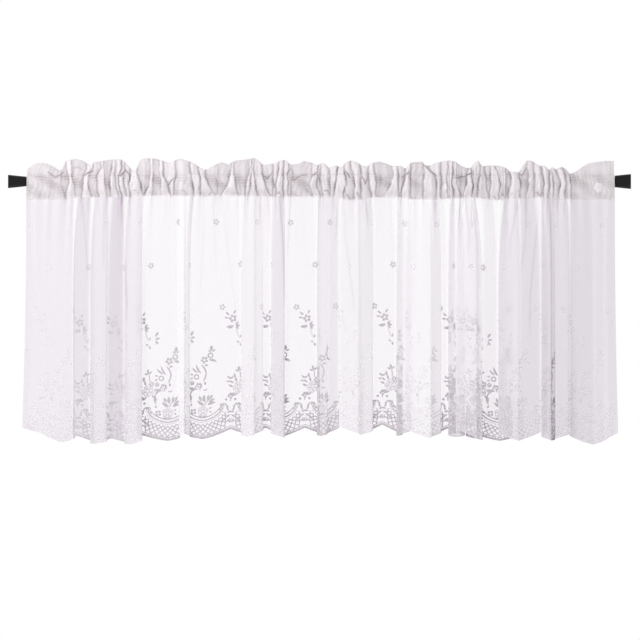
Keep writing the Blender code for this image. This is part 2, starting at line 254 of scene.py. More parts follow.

# Thin wrinkles that run down from the heading: x just below the seam, a quarter of the
# way down and half-way down, in mm, the height at which each fades out, and its depth,
# which sets its relief and its painted shade.
WRINKLE_HEIGHTS = (-190.0, -94.0, -30.0)
Wrinkle = namedtuple("Wrinkle", "top upper middle end_z depth")
WRINKLES = [Wrinkle(*row) for row in (
    (-380, -374, -366, -206, 0.5), (-345, -345, -345, -158, 0.3),
    (-316, -313, -308, -240, 0.6), (-196, -196, -196, -65, 0.3),
    (-186, -185, -191, -206, 0.5), (-170, -167, -163, -166, 0.5),
    (-156, -148, -135, -246, 0.5), (-95, -94, -94, -90, 0.8),
    (-82, -78, -78, -105, 0.8), (-63, -58, -55, -206, 0.8),
    (-46, -50, -57, -140, 0.8), (-38, -36, -23, -129, 0.4),
    (31, 26, 26, -110, 0.9), (41, 42, 55, -222, 0.5),
    (70, 66, 66, -70, 0.5), (74, 81, 84, -90, 0.8),
    (122, 119, 119, -174, 0.4), (142, 140, 140, -94, 0.4),
    (188, 184, 182, -70, 0.5), (223, 226, 226, -125, 0.5),
    (234, 241, 228, -134, 0.6), (244, 254, 256, -190, 0.5),
    (292, 284, 273, -129, 0.9), (318, 306, 306, -134, 0.5),
    (332, 330, 316, -174, 0.4), (353, 346, 337, -262, 0.5),
)]
WRINKLE_HALF_WIDTH = 1.3 * MM
WRINKLE_FADE = 45.0 * MM

# One repeat of the lace, in mm: a is across from the scallop's tip and h above it.
# A turn is in degrees, anticlockwise from +a.
Leaf = namedtuple("Leaf", "a h length width turn")
Flower = namedtuple("Flower", "a h radius petals turn")
Rose = namedtuple("Rose", "a h radius turn")
Ring = namedtuple("Ring", "a h radius width")
Line = namedtuple("Line", "a h end_a end_h bow width")
Curl = namedtuple("Curl", "a h radius start sweep grow width")

CENTRE_SPRAY = (
    Rose(0, 43.5, 8.0, 10), Flower(-15, 43, 5.2, 4, 45),
    Leaf(10, 46.5, 4.5, 2.6, 25), Leaf(10, 42, 4.5, 2.6, -20),
    Line(-4, 37, -2, 33.5, 0.6, 1.4), Leaf(-3, 35.5, 6, 2.6, 190),
    Leaf(-1, 34.8, 6.5, 2.6, 5), Line(2, 52, 15, 64, 2, 1.5),
    Leaf(2, 54, 13, 5, 148), Leaf(-2, 60, 9, 4, 112),
    Leaf(3, 58, 12, 5, 94), Leaf(8, 60, 9.5, 4, 76),
    Leaf(12, 62, 8, 3.4, 58), Leaf(7, 53, 14, 4.2, 14),
    Leaf(10, 56.5, 11, 3.6, 32), Curl(-8, 66, 13, 84, 140, 1.0, 2.0),
    Curl(-7, 80.5, 3.2, -80, 230, 0.55, 1.7), Leaf(-18, 56, 5, 3, 245),
    Line(-20, 75, -8, 90, -2.5, 1.9), Leaf(-9, 86, 6, 3, 5),
    Flower(-17, 88.5, 4.0, 5, 0), Leaf(-4, 89, 9, 3.2, -82),
    Leaf(4, 85, 6, 3.4, 92), Curl(4, 80.5, 3.6, 200, 140, 1.0, 1.8),
    Ring(-10, 98, 4.4, 1.9), Leaf(-15.5, 96.5, 5.5, 2.4, 188),
    Leaf(-15, 101.5, 5.5, 2.4, 160), Leaf(-2.5, 103, 17, 3.2, 118),
    Leaf(-7.5, 104.5, 13, 2.8, 137), Line(0, 90, -3, 118, -6.5, 2.1),
    Flower(2.5, 125, 6.2, 5, 20), Leaf(2.5, 115.5, 6.5, 3, 8),
    Leaf(9, 125, 14, 3.8, -18), Ring(12, 131.5, 4.6, 2.0),
    Leaf(13.5, 137.5, 6, 2.8, 152), Leaf(14.5, 137.5, 6.5, 2.8, 22),
    Leaf(14, 139, 8.5, 5, 88),
)
CUSP_CROWN = (
    Flower(0, 67, 5.0, 4, 0), Leaf(0, 58.5, 4, 2, 90),
    Line(-6.5, 40, 6.5, 40.5, 1.6, 2.4), Leaf(0, 25, 6, 2.6, 90),
)
CUSP_HALF = (
    Leaf(5, 60.5, 4.6, 3.8, 0), Curl(10.5, 49.5, 5.0, 215, -290, 0.72, 1.9),
    Line(4, 52, 7, 45, -1, 1.5), Leaf(15, 46, 5, 3, -30),
    Leaf(2.5, 43.5, 5, 2.4, 35), Line(1, 34, 10, 39, -1, 1.3),
    Leaf(1, 24.5, 6, 2.6, 35), Line(0.6, 38, 15, 24.5, 0, 1.8),
    Line(0.6, 32, 9, 23, 0, 1.2),
)
BOUQUET = (
    Rose(-31, 79, 8.8, 40), Leaf(-38, 72, 10, 3.8, 205),
    Leaf(-33, 69.5, 11, 3.6, 186), Leaf(-25, 71, 10, 3.6, -38),
    Leaf(-22, 79, 9, 3.6, 2), Leaf(-40, 82, 8, 3.2, 160),
    Leaf(-39, 87, 8, 3.0, 142), Flower(-25.5, 90, 4.6, 5, 10),
    Leaf(-34, 88.5, 8, 3.2, 104), Leaf(-22, 69, 9, 3.2, -62),
    Leaf(-19, 85, 7, 2.8, 28), Curl(-44, 99.5, 4.4, 185, 150, 1.0, 2.6),
    Leaf(-37, 95, 7.5, 3.4, 92), Leaf(-45, 90, 6, 2.6, 175),
    Line(-29, 93, -30, 106, -1, 1.4), Leaf(-30, 106, 8, 3.4, 96),
    Leaf(-30.5, 105.5, 6.5, 2.8, 158), Leaf(-29.5, 105.5, 7, 2.6, 38),
    Leaf(-30, 151, 5.5, 2.4, 150), Leaf(-29.5, 150, 6, 3, -70),
    Leaf(-28, 158, 6, 2.4, 82), Line(-29, 157, -35, 177, 1.5, 0.8),
    Leaf(-36, 178, 8, 3.4, 52), Leaf(-35.5, 177.5, 7, 3.4, 2),
    Leaf(-36, 177, 7, 3.0, -48), Leaf(-39, 178.5, 12, 4.8, 188),
    Flower(-40.5, 190, 6.6, 5, 10), Leaf(-45.5, 196, 8, 3, 142),
    Leaf(-47, 191.5, 7, 2.8, 176), Leaf(-39, 197, 7.5, 2.8, 58),
    Leaf(-19, 163.5, 9, 3.6, 56), Leaf(-18.5, 160, 6.5, 3.2, 4),
    Leaf(-19, 156.5, 6.5, 2.8, -48), Line(-20, 150, -19, 163, -1, 0.9),
)

# A thread's cross-section: how far across and how high, from one edge over its raised
# middle to the other edge, and back along the cloth. The border's are a little fuller,
# and edges blunter than the last value look round.
THREAD_SECTION = ((-0.5, 0.0), (0.0, 1.0), (0.5, 0.0), (-0.5, 0.0))
THREAD_FULLNESS = 1.08
ROUNDED_BELOW = 75.0

# A thread nearer to the cloth's sides than the first margin is left out. Long rows start
# and end at the second, in mm.
LEAST_MARGIN = 2.0 * MM
SIDE_MARGIN = 3.0

# The small flowers on the plain ground: rows by height, shifted by half a repeat.
SprigRow = namedtuple("SprigRow", "h a")
SPRIG_ROWS = (SprigRow(208, 31), SprigRow(276, -27), SprigRow(344, 20))
SPRIG_TURN = 25.0

# Two more show on the pocket: x along the rod, height on the flat cloth and radius.
PocketFlower = namedtuple("PocketFlower", "x h radius")
POCKET_FLOWERS = (PocketFlower(199, 403, 5.5), PocketFlower(444, 402, 7.5))

# The scallop's arcs, dots and net, round a centre above its tip, in mm and degrees.
ARC_CENTRE_H = 66.0
Arc = namedtuple("Arc", "radius sweep width")
ARCS = (Arc(32.4, 62, 1.7), Arc(37.0, 64, 2.0))
ARC_END_A = ARCS[-1].radius * math.sin(math.radians(ARCS[-1].sweep)) - 3.4
ARC_END = Curl(ARC_END_A, 51.0, 3.6, -40, 260, 0.6, 1.7)
DOT_ARC_RADIUS = 40.4
DOT_STEP = 5.2
DOT_LENGTH = 2.2
DOT_WIDTH = 2.0
NET_START_RADIUS = 43.0
NET_SWEEP = 60.0
NET_REACH = 37.0
NET_TOP = 44.0
NET_STEP = 1.2
EDGE_RISE = 14.0
EDGE_BAND = 3.4

# The flat cloth: where the lower seam is, the cloth from seam to seam, what one turn of
# the heading takes of the weave's map, and the map's side.
FLAT_TOP = 386.0 * MM
POCKET_RUN = 44.0 * MM
TURN_ON_MAP = 27.5 * MM
UV_SIDE = 1.6

# The sheets' quads, across and up, and the share of the heading's that is in front.
FALL_CELLS = (1390, 70)
HEADING_CELLS = (1240, 80)
FRONT_ROWS = 0.8

# The cloth's density: the most layers that a sheet seen edge-on counts as, the layers of
# a side hem, and the share of its density and of its painted shade that cloth hidden in a
# fold loses. Towards the right side it is denser, from the first share of its width on,
# over the second.
FALL_MOST_LAYERS = 1.4
HEADING_MOST_LAYERS = 2.2
HEM_LAYERS = 1.5
HIDDEN_LOSS = 0.75
RIGHT_SIDE = (0.72, 0.25)

# The stage, in metres. The soft light's strength is from the front, then from behind.
WHITE = (1.0, 1.0, 1.0, 1.0)
SOFT_LIGHT = (0.66, 0.82)
KEY_PLACE = (-1.3, -1.7, 1.1)
KEY_AIM = (0.0, 0.0, -0.2)
KEY_SIZE = 1.6
KEY_POWER = 42.0
CAMERA_X = 0.8 * MM
CAMERA_Z = -221.6 * MM
CAMERA_AWAY = 3.0
FRAME_WIDTH = 1.024
FLOOR_Z = -0.62
FLOOR_SIDE = 60.0


class ValanceSizes(bpy.types.PropertyGroup):
    """Sizes of the cloth's finer work."""

    net_pitch: FloatProperty(
        name="Net pitch", description="From strand to strand in the scallops' net",
        default=6.8 * MM, unit="LENGTH",
    )
    net_strand: FloatProperty(
        name="Net strand", description="Width of a strand of the net",
        default=1.6 * MM, unit="LENGTH",
    )
    thread_rise: FloatProperty(
        name="Thread rise", description="How far the lace's threads stand off the sheer cloth",
        default=0.28 * MM, unit="LENGTH",
    )
    lace_lift: FloatProperty(
        name="Lace lift", description="Gap between the sheer cloth and the back of the threads",
        default=0.2 * MM, unit="LENGTH",
    )
    sprig_radius: FloatProperty(
        name="Sprig radius", description="Radius of a small flower on the plain ground",
        default=5.4 * MM, unit="LENGTH",
    )
    stitch: FloatProperty(
        name="Stitch", description="Length of one stitch of a seam",
        default=2.4 * MM, unit="LENGTH",
    )
    stitch_gap: FloatProperty(
        name="Stitch gap", description="Cloth between two stitches",
        default=0.6 * MM, unit="LENGTH",
    )
    side_hem: FloatProperty(
        name="Side hem", description="Width of the doubled hem down each side",
        default=13.0 * MM, unit="LENGTH",
    )


class ValanceColours(bpy.types.PropertyGroup):
    """Colours and densities of the valance and its rod, with the cloth's painted light and shade.
    """

    # The ground's own faintly lilac thread, greyed as painted shade of its front seen against the
    # light behind.
    voile: FloatVectorProperty(
        name="Voile", description="The hanging sheer ground's thread",
        default=(0.762, 0.695, 0.772), subtype="COLOR",
    )
    # Painted light: the ground where a fold lying in front is lit.
    lit_voile: FloatVectorProperty(
        name="Pale voile", description="The sheer ground where a fold lies in front",
        default=(0.885, 0.862, 0.892), subtype="COLOR",
    )
    shaded_voile: FloatVectorProperty(
        name="Shaded voile", description="The sheer ground deep in a fold",
        default=(0.37, 0.295, 0.375), subtype="COLOR",
    )
    gathered_voile: FloatVectorProperty(
        name="Gathered voile", description="The ground's thread in the heading",
        default=(0.775, 0.725, 0.752), subtype="COLOR",
    )
    # Painted highlight: the heading where a gather stands out.
    lit_gathers: FloatVectorProperty(
        name="Pale gathers", description="The heading where a gather stands out",
        default=(0.93, 0.9, 0.925), subtype="COLOR",
    )
    shaded_gathers: FloatVectorProperty(
        name="Shaded gathers", description="The heading deep in a crease",
        default=(0.36, 0.31, 0.33), subtype="COLOR",
    )
    # Lace thread on flat cloth, greyed from its own white as painted shade of its front against the
    # light behind.
    lace: FloatVectorProperty(
        name="Lace thread", description="The border's thread where the cloth hangs flat",
        default=(0.51, 0.465, 0.515), subtype="COLOR",
    )
    # The thread with painted light on a fold in front, and the own paler colour of washed threads.
    pale_lace: FloatVectorProperty(
        name="Pale lace", description="The border's thread where a fold lies in front",
        default=(0.845, 0.81, 0.85), subtype="COLOR",
    )
    paint: FloatVectorProperty(
        name="Rod paint", description="The tubes' white enamel",
        default=(0.86, 0.86, 0.85), subtype="COLOR",
    )
    rubber: FloatVectorProperty(
        name="Cap rubber", description="The end caps",
        default=(0.004, 0.0036, 0.004), subtype="COLOR",
    )
    cover: FloatProperty(
        name="Cover", description="Share of the light that one layer of the ground stops",
        default=0.34, min=0.0, max=1.0, subtype="FACTOR",
    )
    side_cover: FloatProperty(
        name="Cover at the right", description="Share that one layer stops near the right side",
        default=0.42, min=0.0, max=1.0, subtype="FACTOR",
    )
    heading_cover: FloatProperty(
        name="Heading cover", description="Share that one layer of the heading stops",
        default=0.5, min=0.0, max=1.0, subtype="FACTOR",
    )
    # Cover added where light is painted on a fold in front.
    pale_cover: FloatProperty(
        name="Cover in front", description="What a fold lying in front adds to the cover",
        default=0.42, min=0.0, max=1.0, subtype="FACTOR",
    )
    shade_cover: FloatProperty(
        name="Cover in shade", description="What a fully shaded fold adds to the cover",
        default=0.45, min=0.0, max=1.0, subtype="FACTOR",
    )


def sizes():
    return bpy.context.scene.valance_sizes


def colours():
    return bpy.context.scene.valance_colours


def smooth(share):
    share = np.clip(share, 0.0, 1.0)
    return share * share * (3 - 2 * share)


def ripple(place, length, start=0.0):
    """A wave, -1 to 1, that turns by one radian in each length, which is in mm."""
    return np.sin(place / (length * MM) + start)


def bell(off, reach):
    """1 in the middle, fading to both sides."""
    return np.exp(-((off / reach) ** 2))


def pressed(off):
    """A pressed line's cross-section: 1 in the middle, sharper than a bell."""
    return np.exp(-np.abs(off) ** 1.6)


def line_through(points, x):
    """The height at x of the line through (x, height) points in mm."""
    along, height = np.transpose(points) * MM
    return np.interp(x, along, height)


def softened(line, reach, step):
    """The line with its corners rounded: each point becomes a mean of those around it."""
    span = max(1, round(2 * reach / step))
    weights = np.exp(-0.5 * (np.arange(-span, span + 1) * step / reach) ** 2)
    padded = np.pad(line, span, mode="reflect", reflect_type="odd")
    return np.convolve(padded, weights / weights.sum(), mode="valid")


def rod_radius(x):
    """The rod's radius under the cloth, with room where the thick tube's edge stands."""
    step = smooth((x - THICK_START_X + EDGE_REACH) / EDGE_REACH)
    radius = (THIN_D + (THICK_D - THIN_D) * step) / 2
    near = 1 - np.abs(x - THICK_START_X) / (2 * EDGE_REACH)
    return radius + (EDGE_CLEARANCE - GAP) * smooth(near)


def scallop_rise(off):
    """How far the edge has risen, in mm, at a share of the way from tip to cusp."""
    return EDGE_RISE * (1 - np.cos(math.pi / 2 * off))


def edge_height(s):
    """Height of the scalloped edge above the tips, on the flat cloth."""
    off = np.abs(np.mod(s - SIDE_STRIP, SCALLOP) - HALF) / HALF
    return np.where(s < SIDE_STRIP, EDGE_RISE * MM, scallop_rise(off) * MM)


class Cloth:
    """The hung cloth: every place on the flat cloth has its place in the folds."""

    STEP = 0.55 * MM

    def __init__(self):
        self.width = SIDE_STRIP + len(SCALLOPS) * SCALLOP
        self.s = np.linspace(0, self.width, round(self.width / self.STEP) + 1)
        self.drop = self.hem_drop()
        self.turns, self.panels, self.inner = self.fold_path()
        self.hem_x = self.fold_line(1)
        self.hem_y = self.fold_line(2)
        self.top_x = self.gathered()
        self.depth = self.pleat_depth()

    def hem_drop(self):
        """The hem's drop: each scallop rises from its tip to a sharp cusp."""
        knots = [(0.0, HEM_START_DROP)]
        for i, (cusp_drop, tip_drop) in enumerate(SCALLOPS):
            cusp = SIDE_STRIP + i * SCALLOP
            knots += [(cusp, cusp_drop), (cusp + HALF, tip_drop)]
        knots.append((self.width, HEM_END_DROP))
        knots = np.array(knots) * (1, MM)
        first = np.clip(np.searchsorted(knots[:, 0], self.s) - 1, 0, len(knots) - 2)
        a, b = knots[first], knots[first + 1]
        share = np.clip((self.s - a[:, 0]) / (b[:, 0] - a[:, 0]), 0, 1)
        rising = np.where(b[:, 1] < a[:, 1], 1 - share, share)
        low, high = np.minimum(a[:, 1], b[:, 1]), np.maximum(a[:, 1], b[:, 1])
        return low + (high - low) * (rising + np.sin(math.pi / 2 * rising)) / 2

    def fold_path(self):
        """Turning points (along, x, y), panels (to, painted shade, painted light) and runs inside
        folds.
        """
        x, y, along, slack = HEM_LEFT_X, LEFT_END_DEPTH, 0.0, LEFT_END_SLACK
        shade, pale = LEFT_END_SHADE, LEFT_END_LIGHT
        turns, panels, inner = [(along, x, y)], [], []
        for fold in FOLDS:
            near, far = fold.edge, fold.edge - fold.overlap
            if fold.front == RIGHT:
                near, far = fold.edge + fold.overlap, fold.edge
            back = math.hypot(fold.overlap, fold.depth - y)
            along += near - x + slack
            turns += [(along, near, y), (along + back, far, fold.depth)]
            panels.append((along + back / 2, shade, pale))
            start = along - (fold.overlap if fold.front == RIGHT else 0)
            if fold.overlap > MOST_OPEN_OVERLAP:
                inner.append((start, start + back + fold.overlap))
            along += back
            x, y, slack, shade, pale = far, fold.depth, 0.0, fold.shade, fold.pale
        along += HEM_RIGHT_X - x
        turns.append((along, HEM_RIGHT_X, RIGHT_END_DEPTH))
        panels.append((along, shade, pale))
        fit = self.width / MM / along
        turns, panels = np.array(turns) * (MM * fit, MM, MM), np.array(panels) * (MM * fit, 1, 1)
        return turns, panels, np.array(inner) * MM * fit

    def fold_line(self, column):
        rough = np.interp(self.s, self.turns[:, 0], self.turns[:, column])
        return softened(rough, FOLD_SOFTNESS, self.STEP)

    def panel(self, s, column):
        """The painted shade (column 1) and painted light (column 2) of the panel at s, blended at
        the folds.
        """
        ends = self.panels[:, 0]
        which = np.clip(np.searchsorted(ends, self.s), 0, len(ends) - 1)
        return np.interp(s, self.s, softened(self.panels[which, column], PANEL_BLEND, self.STEP))

    # The panel's painted shade.
    def shade(self, s):
        return self.panel(s, 1)

    # The panel's painted light.
    def pale(self, s):
        return self.panel(s, 2)

    def inside(self, s):
        """1 where the cloth runs hidden inside a fold, 0 elsewhere."""
        hidden = np.zeros_like(self.s)
        for start, end in self.inner:
            hidden[(self.s > start) & (self.s < end)] = 1
        return np.interp(s, self.s, softened(hidden, INNER_BLEND, self.STEP))

    def gathered(self):
        """Where each place sits on the rod: above its place at the hem, evened out."""
        rough = softened(self.hem_x, TOP_SETTLE, self.STEP)
        scale = (TOP_RIGHT_X - TOP_LEFT_X) / (rough[-1] - rough[0])
        return TOP_LEFT_X + (rough - rough[0]) * scale

    def pleat_depth(self):
        """Depth of the narrow pleats on the rod: deeper where the cloth is fuller."""
        reach = 2 * COLUMN
        ahead = self.read(self.top_x, self.s + reach)
        behind = self.read(self.top_x, self.s - reach)
        run = np.minimum(self.s + reach, self.width) - np.maximum(self.s - reach, 0)
        fullness = 2 * np.sqrt(np.maximum(0, 1 - (ahead - behind) / run))
        k = self.s / COLUMN
        uneven = 1 + 0.25 * np.sin(1.7 * k) + 0.15 * np.sin(0.41 * k)
        return np.minimum(PLEAT / (2 * math.pi) * fullness * uneven, MOST_PLEAT)

    def read(self, line, s):
        return np.interp(s, self.s, line)

    def pleat(self, s):
        """(y, x shift) of the narrow pleats: wide in front, pinched behind."""
        depth = self.read(self.depth, s)
        drift = 2.2 * MM * ripple(s, 15.4) + 1.5 * MM * ripple(s, 8.3, 1)
        phase = 2 * math.pi * (s + drift) / PLEAT
        return -depth * np.cos(phase), -PLEAT_PINCH * depth * np.sin(phase)

    def lean(self, s, down):
        """How far each place has moved from above the rod to its fold at the hem."""
        quick = FOLD_HOLD + (1 - FOLD_HOLD) * (1 - (1 - down) ** 7)
        late = FOLD_HOLD + (1 - FOLD_HOLD) * down**2.2
        side = bell(s, LATE_SIDE) + bell(self.width - s, LATE_SIDE)
        return quick + (late - quick) * side

    def fall(self, s, down):
        """The hanging cloth, from 0 at the lower seam to 1 at the hem."""
        top_x = self.read(self.top_x, s)
        wave, shift = self.pleat(s)
        left = (1 - down) ** 6
        lean = self.lean(s, down)
        x = top_x + (self.read(self.hem_x, s) - top_x) * lean + PLEAT_SHARE * shift * left
        flare = 1 + (HEM_FLARE - 1) * down**3
        y = PLEAT_SHARE * wave * left + self.read(self.hem_y, s) * lean * flare
        seam_z = line_through(LOWER_SEAM, x)
        z = seam_z + (-self.read(self.drop, s) - seam_z) * down
        line, puff, _ = self.creases(x, z)
        y -= puff * (1 - line) * 0.6 * smooth(down / 0.02) * (1 - down) ** 14
        y += LINE_RELIEF * self.wrinkles(x, z)
        return np.stack([x, y, z], axis=-1)

    def heading(self, s, turn):
        """Pocket and ruffle: turn 0 lower seam, 1 upper seam, 2 ridge, then down behind."""
        top_x = self.read(self.top_x, s)
        wave, shift = self.pleat(s)
        front = turn <= 2
        up = np.where(front, turn, 4 - turn)
        way = np.where(front, -1.0, 1.0)
        hold = FOLD_HOLD * np.clip(1 - 0.4 * up, 0, 1)
        x = top_x + (self.read(self.hem_x, s) - top_x) * hold
        seam_z = rod_radius(x) + GAP + UPPER_SEAM_RISE
        pocket_z, pocket_y = self.pocket(x, seam_z, np.clip(up, 0, 1))
        share = np.clip(up - 1, 0, 1)
        ruffle_z, ruffle_y = self.ruffle(x, seam_z, share)
        in_ruffle = up > 1
        z = np.where(in_ruffle, ruffle_z, pocket_z)
        y = np.where(in_ruffle, ruffle_y, pocket_y)
        line, puff, _ = self.creases(x, z)
        room = smooth(3.5 * up) * (1 - 0.85 * share**3)
        y += (puff * (1 - line) + LINE_RELIEF * (1 - 1.8 * line)) * room
        y += PUCKER_RELIEF * (1 - self.puckers(x, z)) * room
        z -= LINE_RELIEF * line * share**2
        waved = (PLEAT_SHARE - 0.15 * share) * np.where(in_ruffle, 1 - share**3, 1)
        y = way * y + wave * waved + self.read(self.hem_y, s) * hold
        clear = np.sqrt(np.maximum(0, (rod_radius(x) + GAP) ** 2 - z**2))
        y = way * np.maximum(way * y, clear)
        return np.stack([x + shift * waved, y, z], axis=-1)

    def pocket(self, x, seam_z, up):
        """(z, half depth) round the rod, from the lower seam to the upper one."""
        reach = rod_radius(x) + GAP + 0.5 * MM
        down_share = np.clip(1 - up / POCKET_LOW, 0, 1)
        angle = np.clip((up - POCKET_LOW) / (1 - POCKET_LOW), 0, 1) * math.pi / 2
        low = up < POCKET_LOW
        z = np.where(low, line_through(LOWER_SEAM, x) * down_share, seam_z * np.sin(angle))
        upper = UPPER_SEAM_DEPTH + (reach - UPPER_SEAM_DEPTH) * np.cos(angle)
        y = np.where(low, reach * (1 - down_share**1.7), upper)
        return z, np.maximum(y, LOWER_SEAM_DEPTH)

    def ruffle(self, x, seam_z, share):
        """(z, half depth) of the ruffle, from the upper seam to its ridge."""
        top = line_through(RIDGE, x)
        full = np.clip((top - 18 * MM) / (16 * MM), 0, 1)
        z = seam_z + (top - seam_z) * np.sin(math.pi / 2 * share) ** 0.9
        swell = (0.5 + 1.5 * full) * MM * np.sin(math.pi * share**0.8) ** 0.8
        return z, UPPER_SEAM_DEPTH * (1 - share**1.5) + swell

    def creases(self, x, z):
        """(crease, 0 to 1; how far the cloth stands out; its painted light, 0 to 1)."""
        heights = np.array(CREASE_HEIGHTS) * MM
        line = self.tucks(x, z)
        edge = np.zeros_like(x)
        before = LEFT_END_PUFF
        places = [np.full_like(x, TOP_LEFT_X - 20 * MM)]
        pinched = bell(z - heights[0], 5 * MM)
        for i, crease in enumerate(CREASES):
            place = np.interp(z, heights, np.array(crease[3::-1]) * MM)
            place += 0.5 * MM * ripple(z, 4.2, 1.7 * i) + 0.28 * MM * ripple(z, 1.7, 2.9 * i)
            width = CREASE_HALF_WIDTH * (0.75 + 0.45 * crease.depth)
            off = (x - place) / width * (1 if crease.after > before else -1)
            depth = crease.depth * (0.74 + 0.26 * ripple(z, 4.6, 2.3 * i) + 0.35 * pinched)
            line = np.maximum(line, np.minimum(depth, 1) * pressed(off))
            # Painted highlight beside the crease on its raised side, and painted shadow on its low
            # side.
            edge = np.maximum(edge, depth * bell(off - 2.0, 1.0))
            edge -= 0.4 * depth * bell(off + 2.4, 1.6)
            places.append(place)
            before = crease.after
        places.append(np.full_like(x, TOP_RIGHT_X + 60 * MM))
        places = np.sort(np.stack(places), axis=0)
        after = np.clip((places < x).sum(axis=0), 1, len(places) - 1)
        right = np.take_along_axis(places, after[None], axis=0)[0]
        left = np.take_along_axis(places, after[None] - 1, axis=0)[0]
        level = np.array([LEFT_END_PUFF] + [crease.after for crease in CREASES])[after - 1]
        gap = np.maximum(right - left, 0.5 * MM)
        rounded = 1 - np.abs(2 * (x - left) / gap - 1) ** 3
        puff = level * np.minimum(PUFF_SHARE * gap, MOST_PUFF) * rounded
        # Painted light: lighter on the cloth that stands out and in the highlight beside a crease.
        return line, puff, np.clip(0.9 * level * rounded + 0.75 * edge, 0, 1)

    def puckers(self, x, z):
        """The finest crumple of the gathered heading, -1 to 1."""
        bend = 2.2 * ripple(z, 6.1, x / (23 * MM)) + 1.3 * ripple(x, 9.7)
        patch = 0.5 + 0.5 * ripple(x, 13, z / (9 * MM))
        return ripple(x, 1.15, bend) * patch

    def tucks(self, x, z):
        """How much of a short tuck each place in the heading is, 0 to 1."""
        line = np.zeros_like(x)
        for tuck in TUCKS:
            ends = np.array(tuck[:6]).reshape(3, 2) * MM
            for start, end in zip(ends[:-1], ends[1:]):
                run = end - start
                share = ((x - start[0]) * run[0] + (z - start[1]) * run[1]) / (run @ run)
                share = np.clip(share, 0, 1)
                off = np.hypot(x - start[0] - share * run[0], z - start[1] - share * run[1])
                line = np.maximum(line, tuck.depth * pressed(off / CREASE_HALF_WIDTH))
        return line

    def wrinkles(self, x, z):
        """How much of a thin wrinkle each place in the fall is, 0 to 1."""
        heights = np.array(WRINKLE_HEIGHTS) * MM
        line = np.zeros_like(x)
        for row in WRINKLES:
            place = np.interp(z, heights, np.array((row.middle, row.upper, row.top)) * MM)
            fade = smooth((z - row.end_z * MM) / WRINKLE_FADE)
            here = row.depth * pressed((x - place) / WRINKLE_HALF_WIDTH) * fade
            line = np.maximum(line, here)
        return line

    def hung(self, s, h, lift):
        """Where a place on the flat cloth hangs, a little in front of the sheet."""
        step = 0.5 * MM
        along = self.place(s + step, h) - self.place(s - step, h)
        up = self.place(s, h + step) - self.place(s, h - step)
        out = np.cross(along, up)
        out /= np.maximum(np.linalg.norm(out, axis=-1, keepdims=True), 1e-12)
        return self.place(s, h) + out * np.reshape(lift, (-1, 1))

    def place(self, s, h):
        edge = edge_height(s)
        down = np.clip(1 - (h - edge) / (FLAT_TOP - edge), 0, 1)
        turn = np.clip((h - FLAT_TOP) / POCKET_RUN, 0, 2)
        above = (h > FLAT_TOP)[..., None]
        return np.where(above, self.heading(s, turn), self.fall(s, down))


CLOTH = Cloth()


class Finish:
    """Fills the node tree of a material or the world."""

    def __init__(self, owner):
        owner.use_nodes = True
        self.tree = owner.node_tree
        self.tree.nodes.clear()

    def node(self, kind, inputs=None, **settings):
        made = self.tree.nodes.new(kind)
        for name, value in settings.items():
            setattr(made, name, value)
        for name, value in (inputs or {}).items():
            socket = made.inputs[name]
            if isinstance(value, bpy.types.NodeSocket):
                self.tree.links.new(value, socket)
            else:
                socket.default_value = value
        return made

    def add(self, kind, inputs=None, output=0, **settings):
        """Adds a node and gives one of its outputs."""
        return self.node(kind, inputs, **settings).outputs[output]

    def noise(self, place, scale, detail, roughness=0.5):
        inputs = {"Vector": place, "Scale": scale, "Detail": detail, "Roughness": roughness}
        return self.add("ShaderNodeTexNoise", inputs, "Fac")

    def ranged(self, value, low, high, start=0.0, end=1.0):
        """What runs from start to end in the value runs from low to high here."""
        inputs = {"Value": value, "From Min": start, "From Max": end, "To Min": low, "To Max": high}
        return self.add("ShaderNodeMapRange", inputs)

    def attribute(self, name):
        named = {"attribute_name": name, "attribute_type": "GEOMETRY"}
        return self.add("ShaderNodeAttribute", output="Fac", **named)

    def times(self, one, other, **settings):
        return self.add("ShaderNodeMath", {0: one, 1: other}, operation="MULTIPLY", **settings)

    def blend(self, share, colour, other):
        """A colour between the two, nearer to the other as the share rises."""
        inputs = {"Factor": share, "A": colour, "B": other}
        return self.add("ShaderNodeMix", inputs, "Result", data_type="RGBA")

    def bump(self, height, strength, distance):
        inputs = {"Height": height, "Strength": strength, "Distance": distance}
        return self.add("ShaderNodeBump", inputs)

    def mix(self, share, one, other):
        """A shader between the two, nearer to the other as the share rises."""
        return self.add("ShaderNodeMixShader", {"Fac": share, 1: one, 2: other})

    def woven(self, scale_u, scale_v):
        """(Place, weave): a plain weave's two thread directions on the flat cloth, 0 to 1."""
        flat = self.add("ShaderNodeUVMap", uv_map="flat")
        place = self.add("ShaderNodeMapping", {"Vector": flat, "Scale": (UV_SIDE,) * 3})
        threads = {}
        for i, scale in enumerate((scale_u, scale_v)):
            threads[i] = self.add(
                "ShaderNodeTexWave", {"Vector": place, "Scale": scale, "Distortion": 0.0}, "Fac",
                wave_type="BANDS", bands_direction="XY"[i], wave_profile="SIN",
            )
        return place, self.add("ShaderNodeMath", threads, operation="MAXIMUM")

    def thread(self, tint, relief, rough, sheen, through):
        """A fibre's shader: a share of the light goes through it."""
        sockets = {"Base Color": tint, "Roughness": rough, "Sheen Weight": sheen, "Normal": relief}
        face = self.add("ShaderNodeBsdfPrincipled", sockets)
        return self.mix(through, face, self.add("ShaderNodeBsdfTranslucent", {"Color": tint}))


def opaque(colour, share=1.0):
    return (*(share * value for value in colour), 1.0)


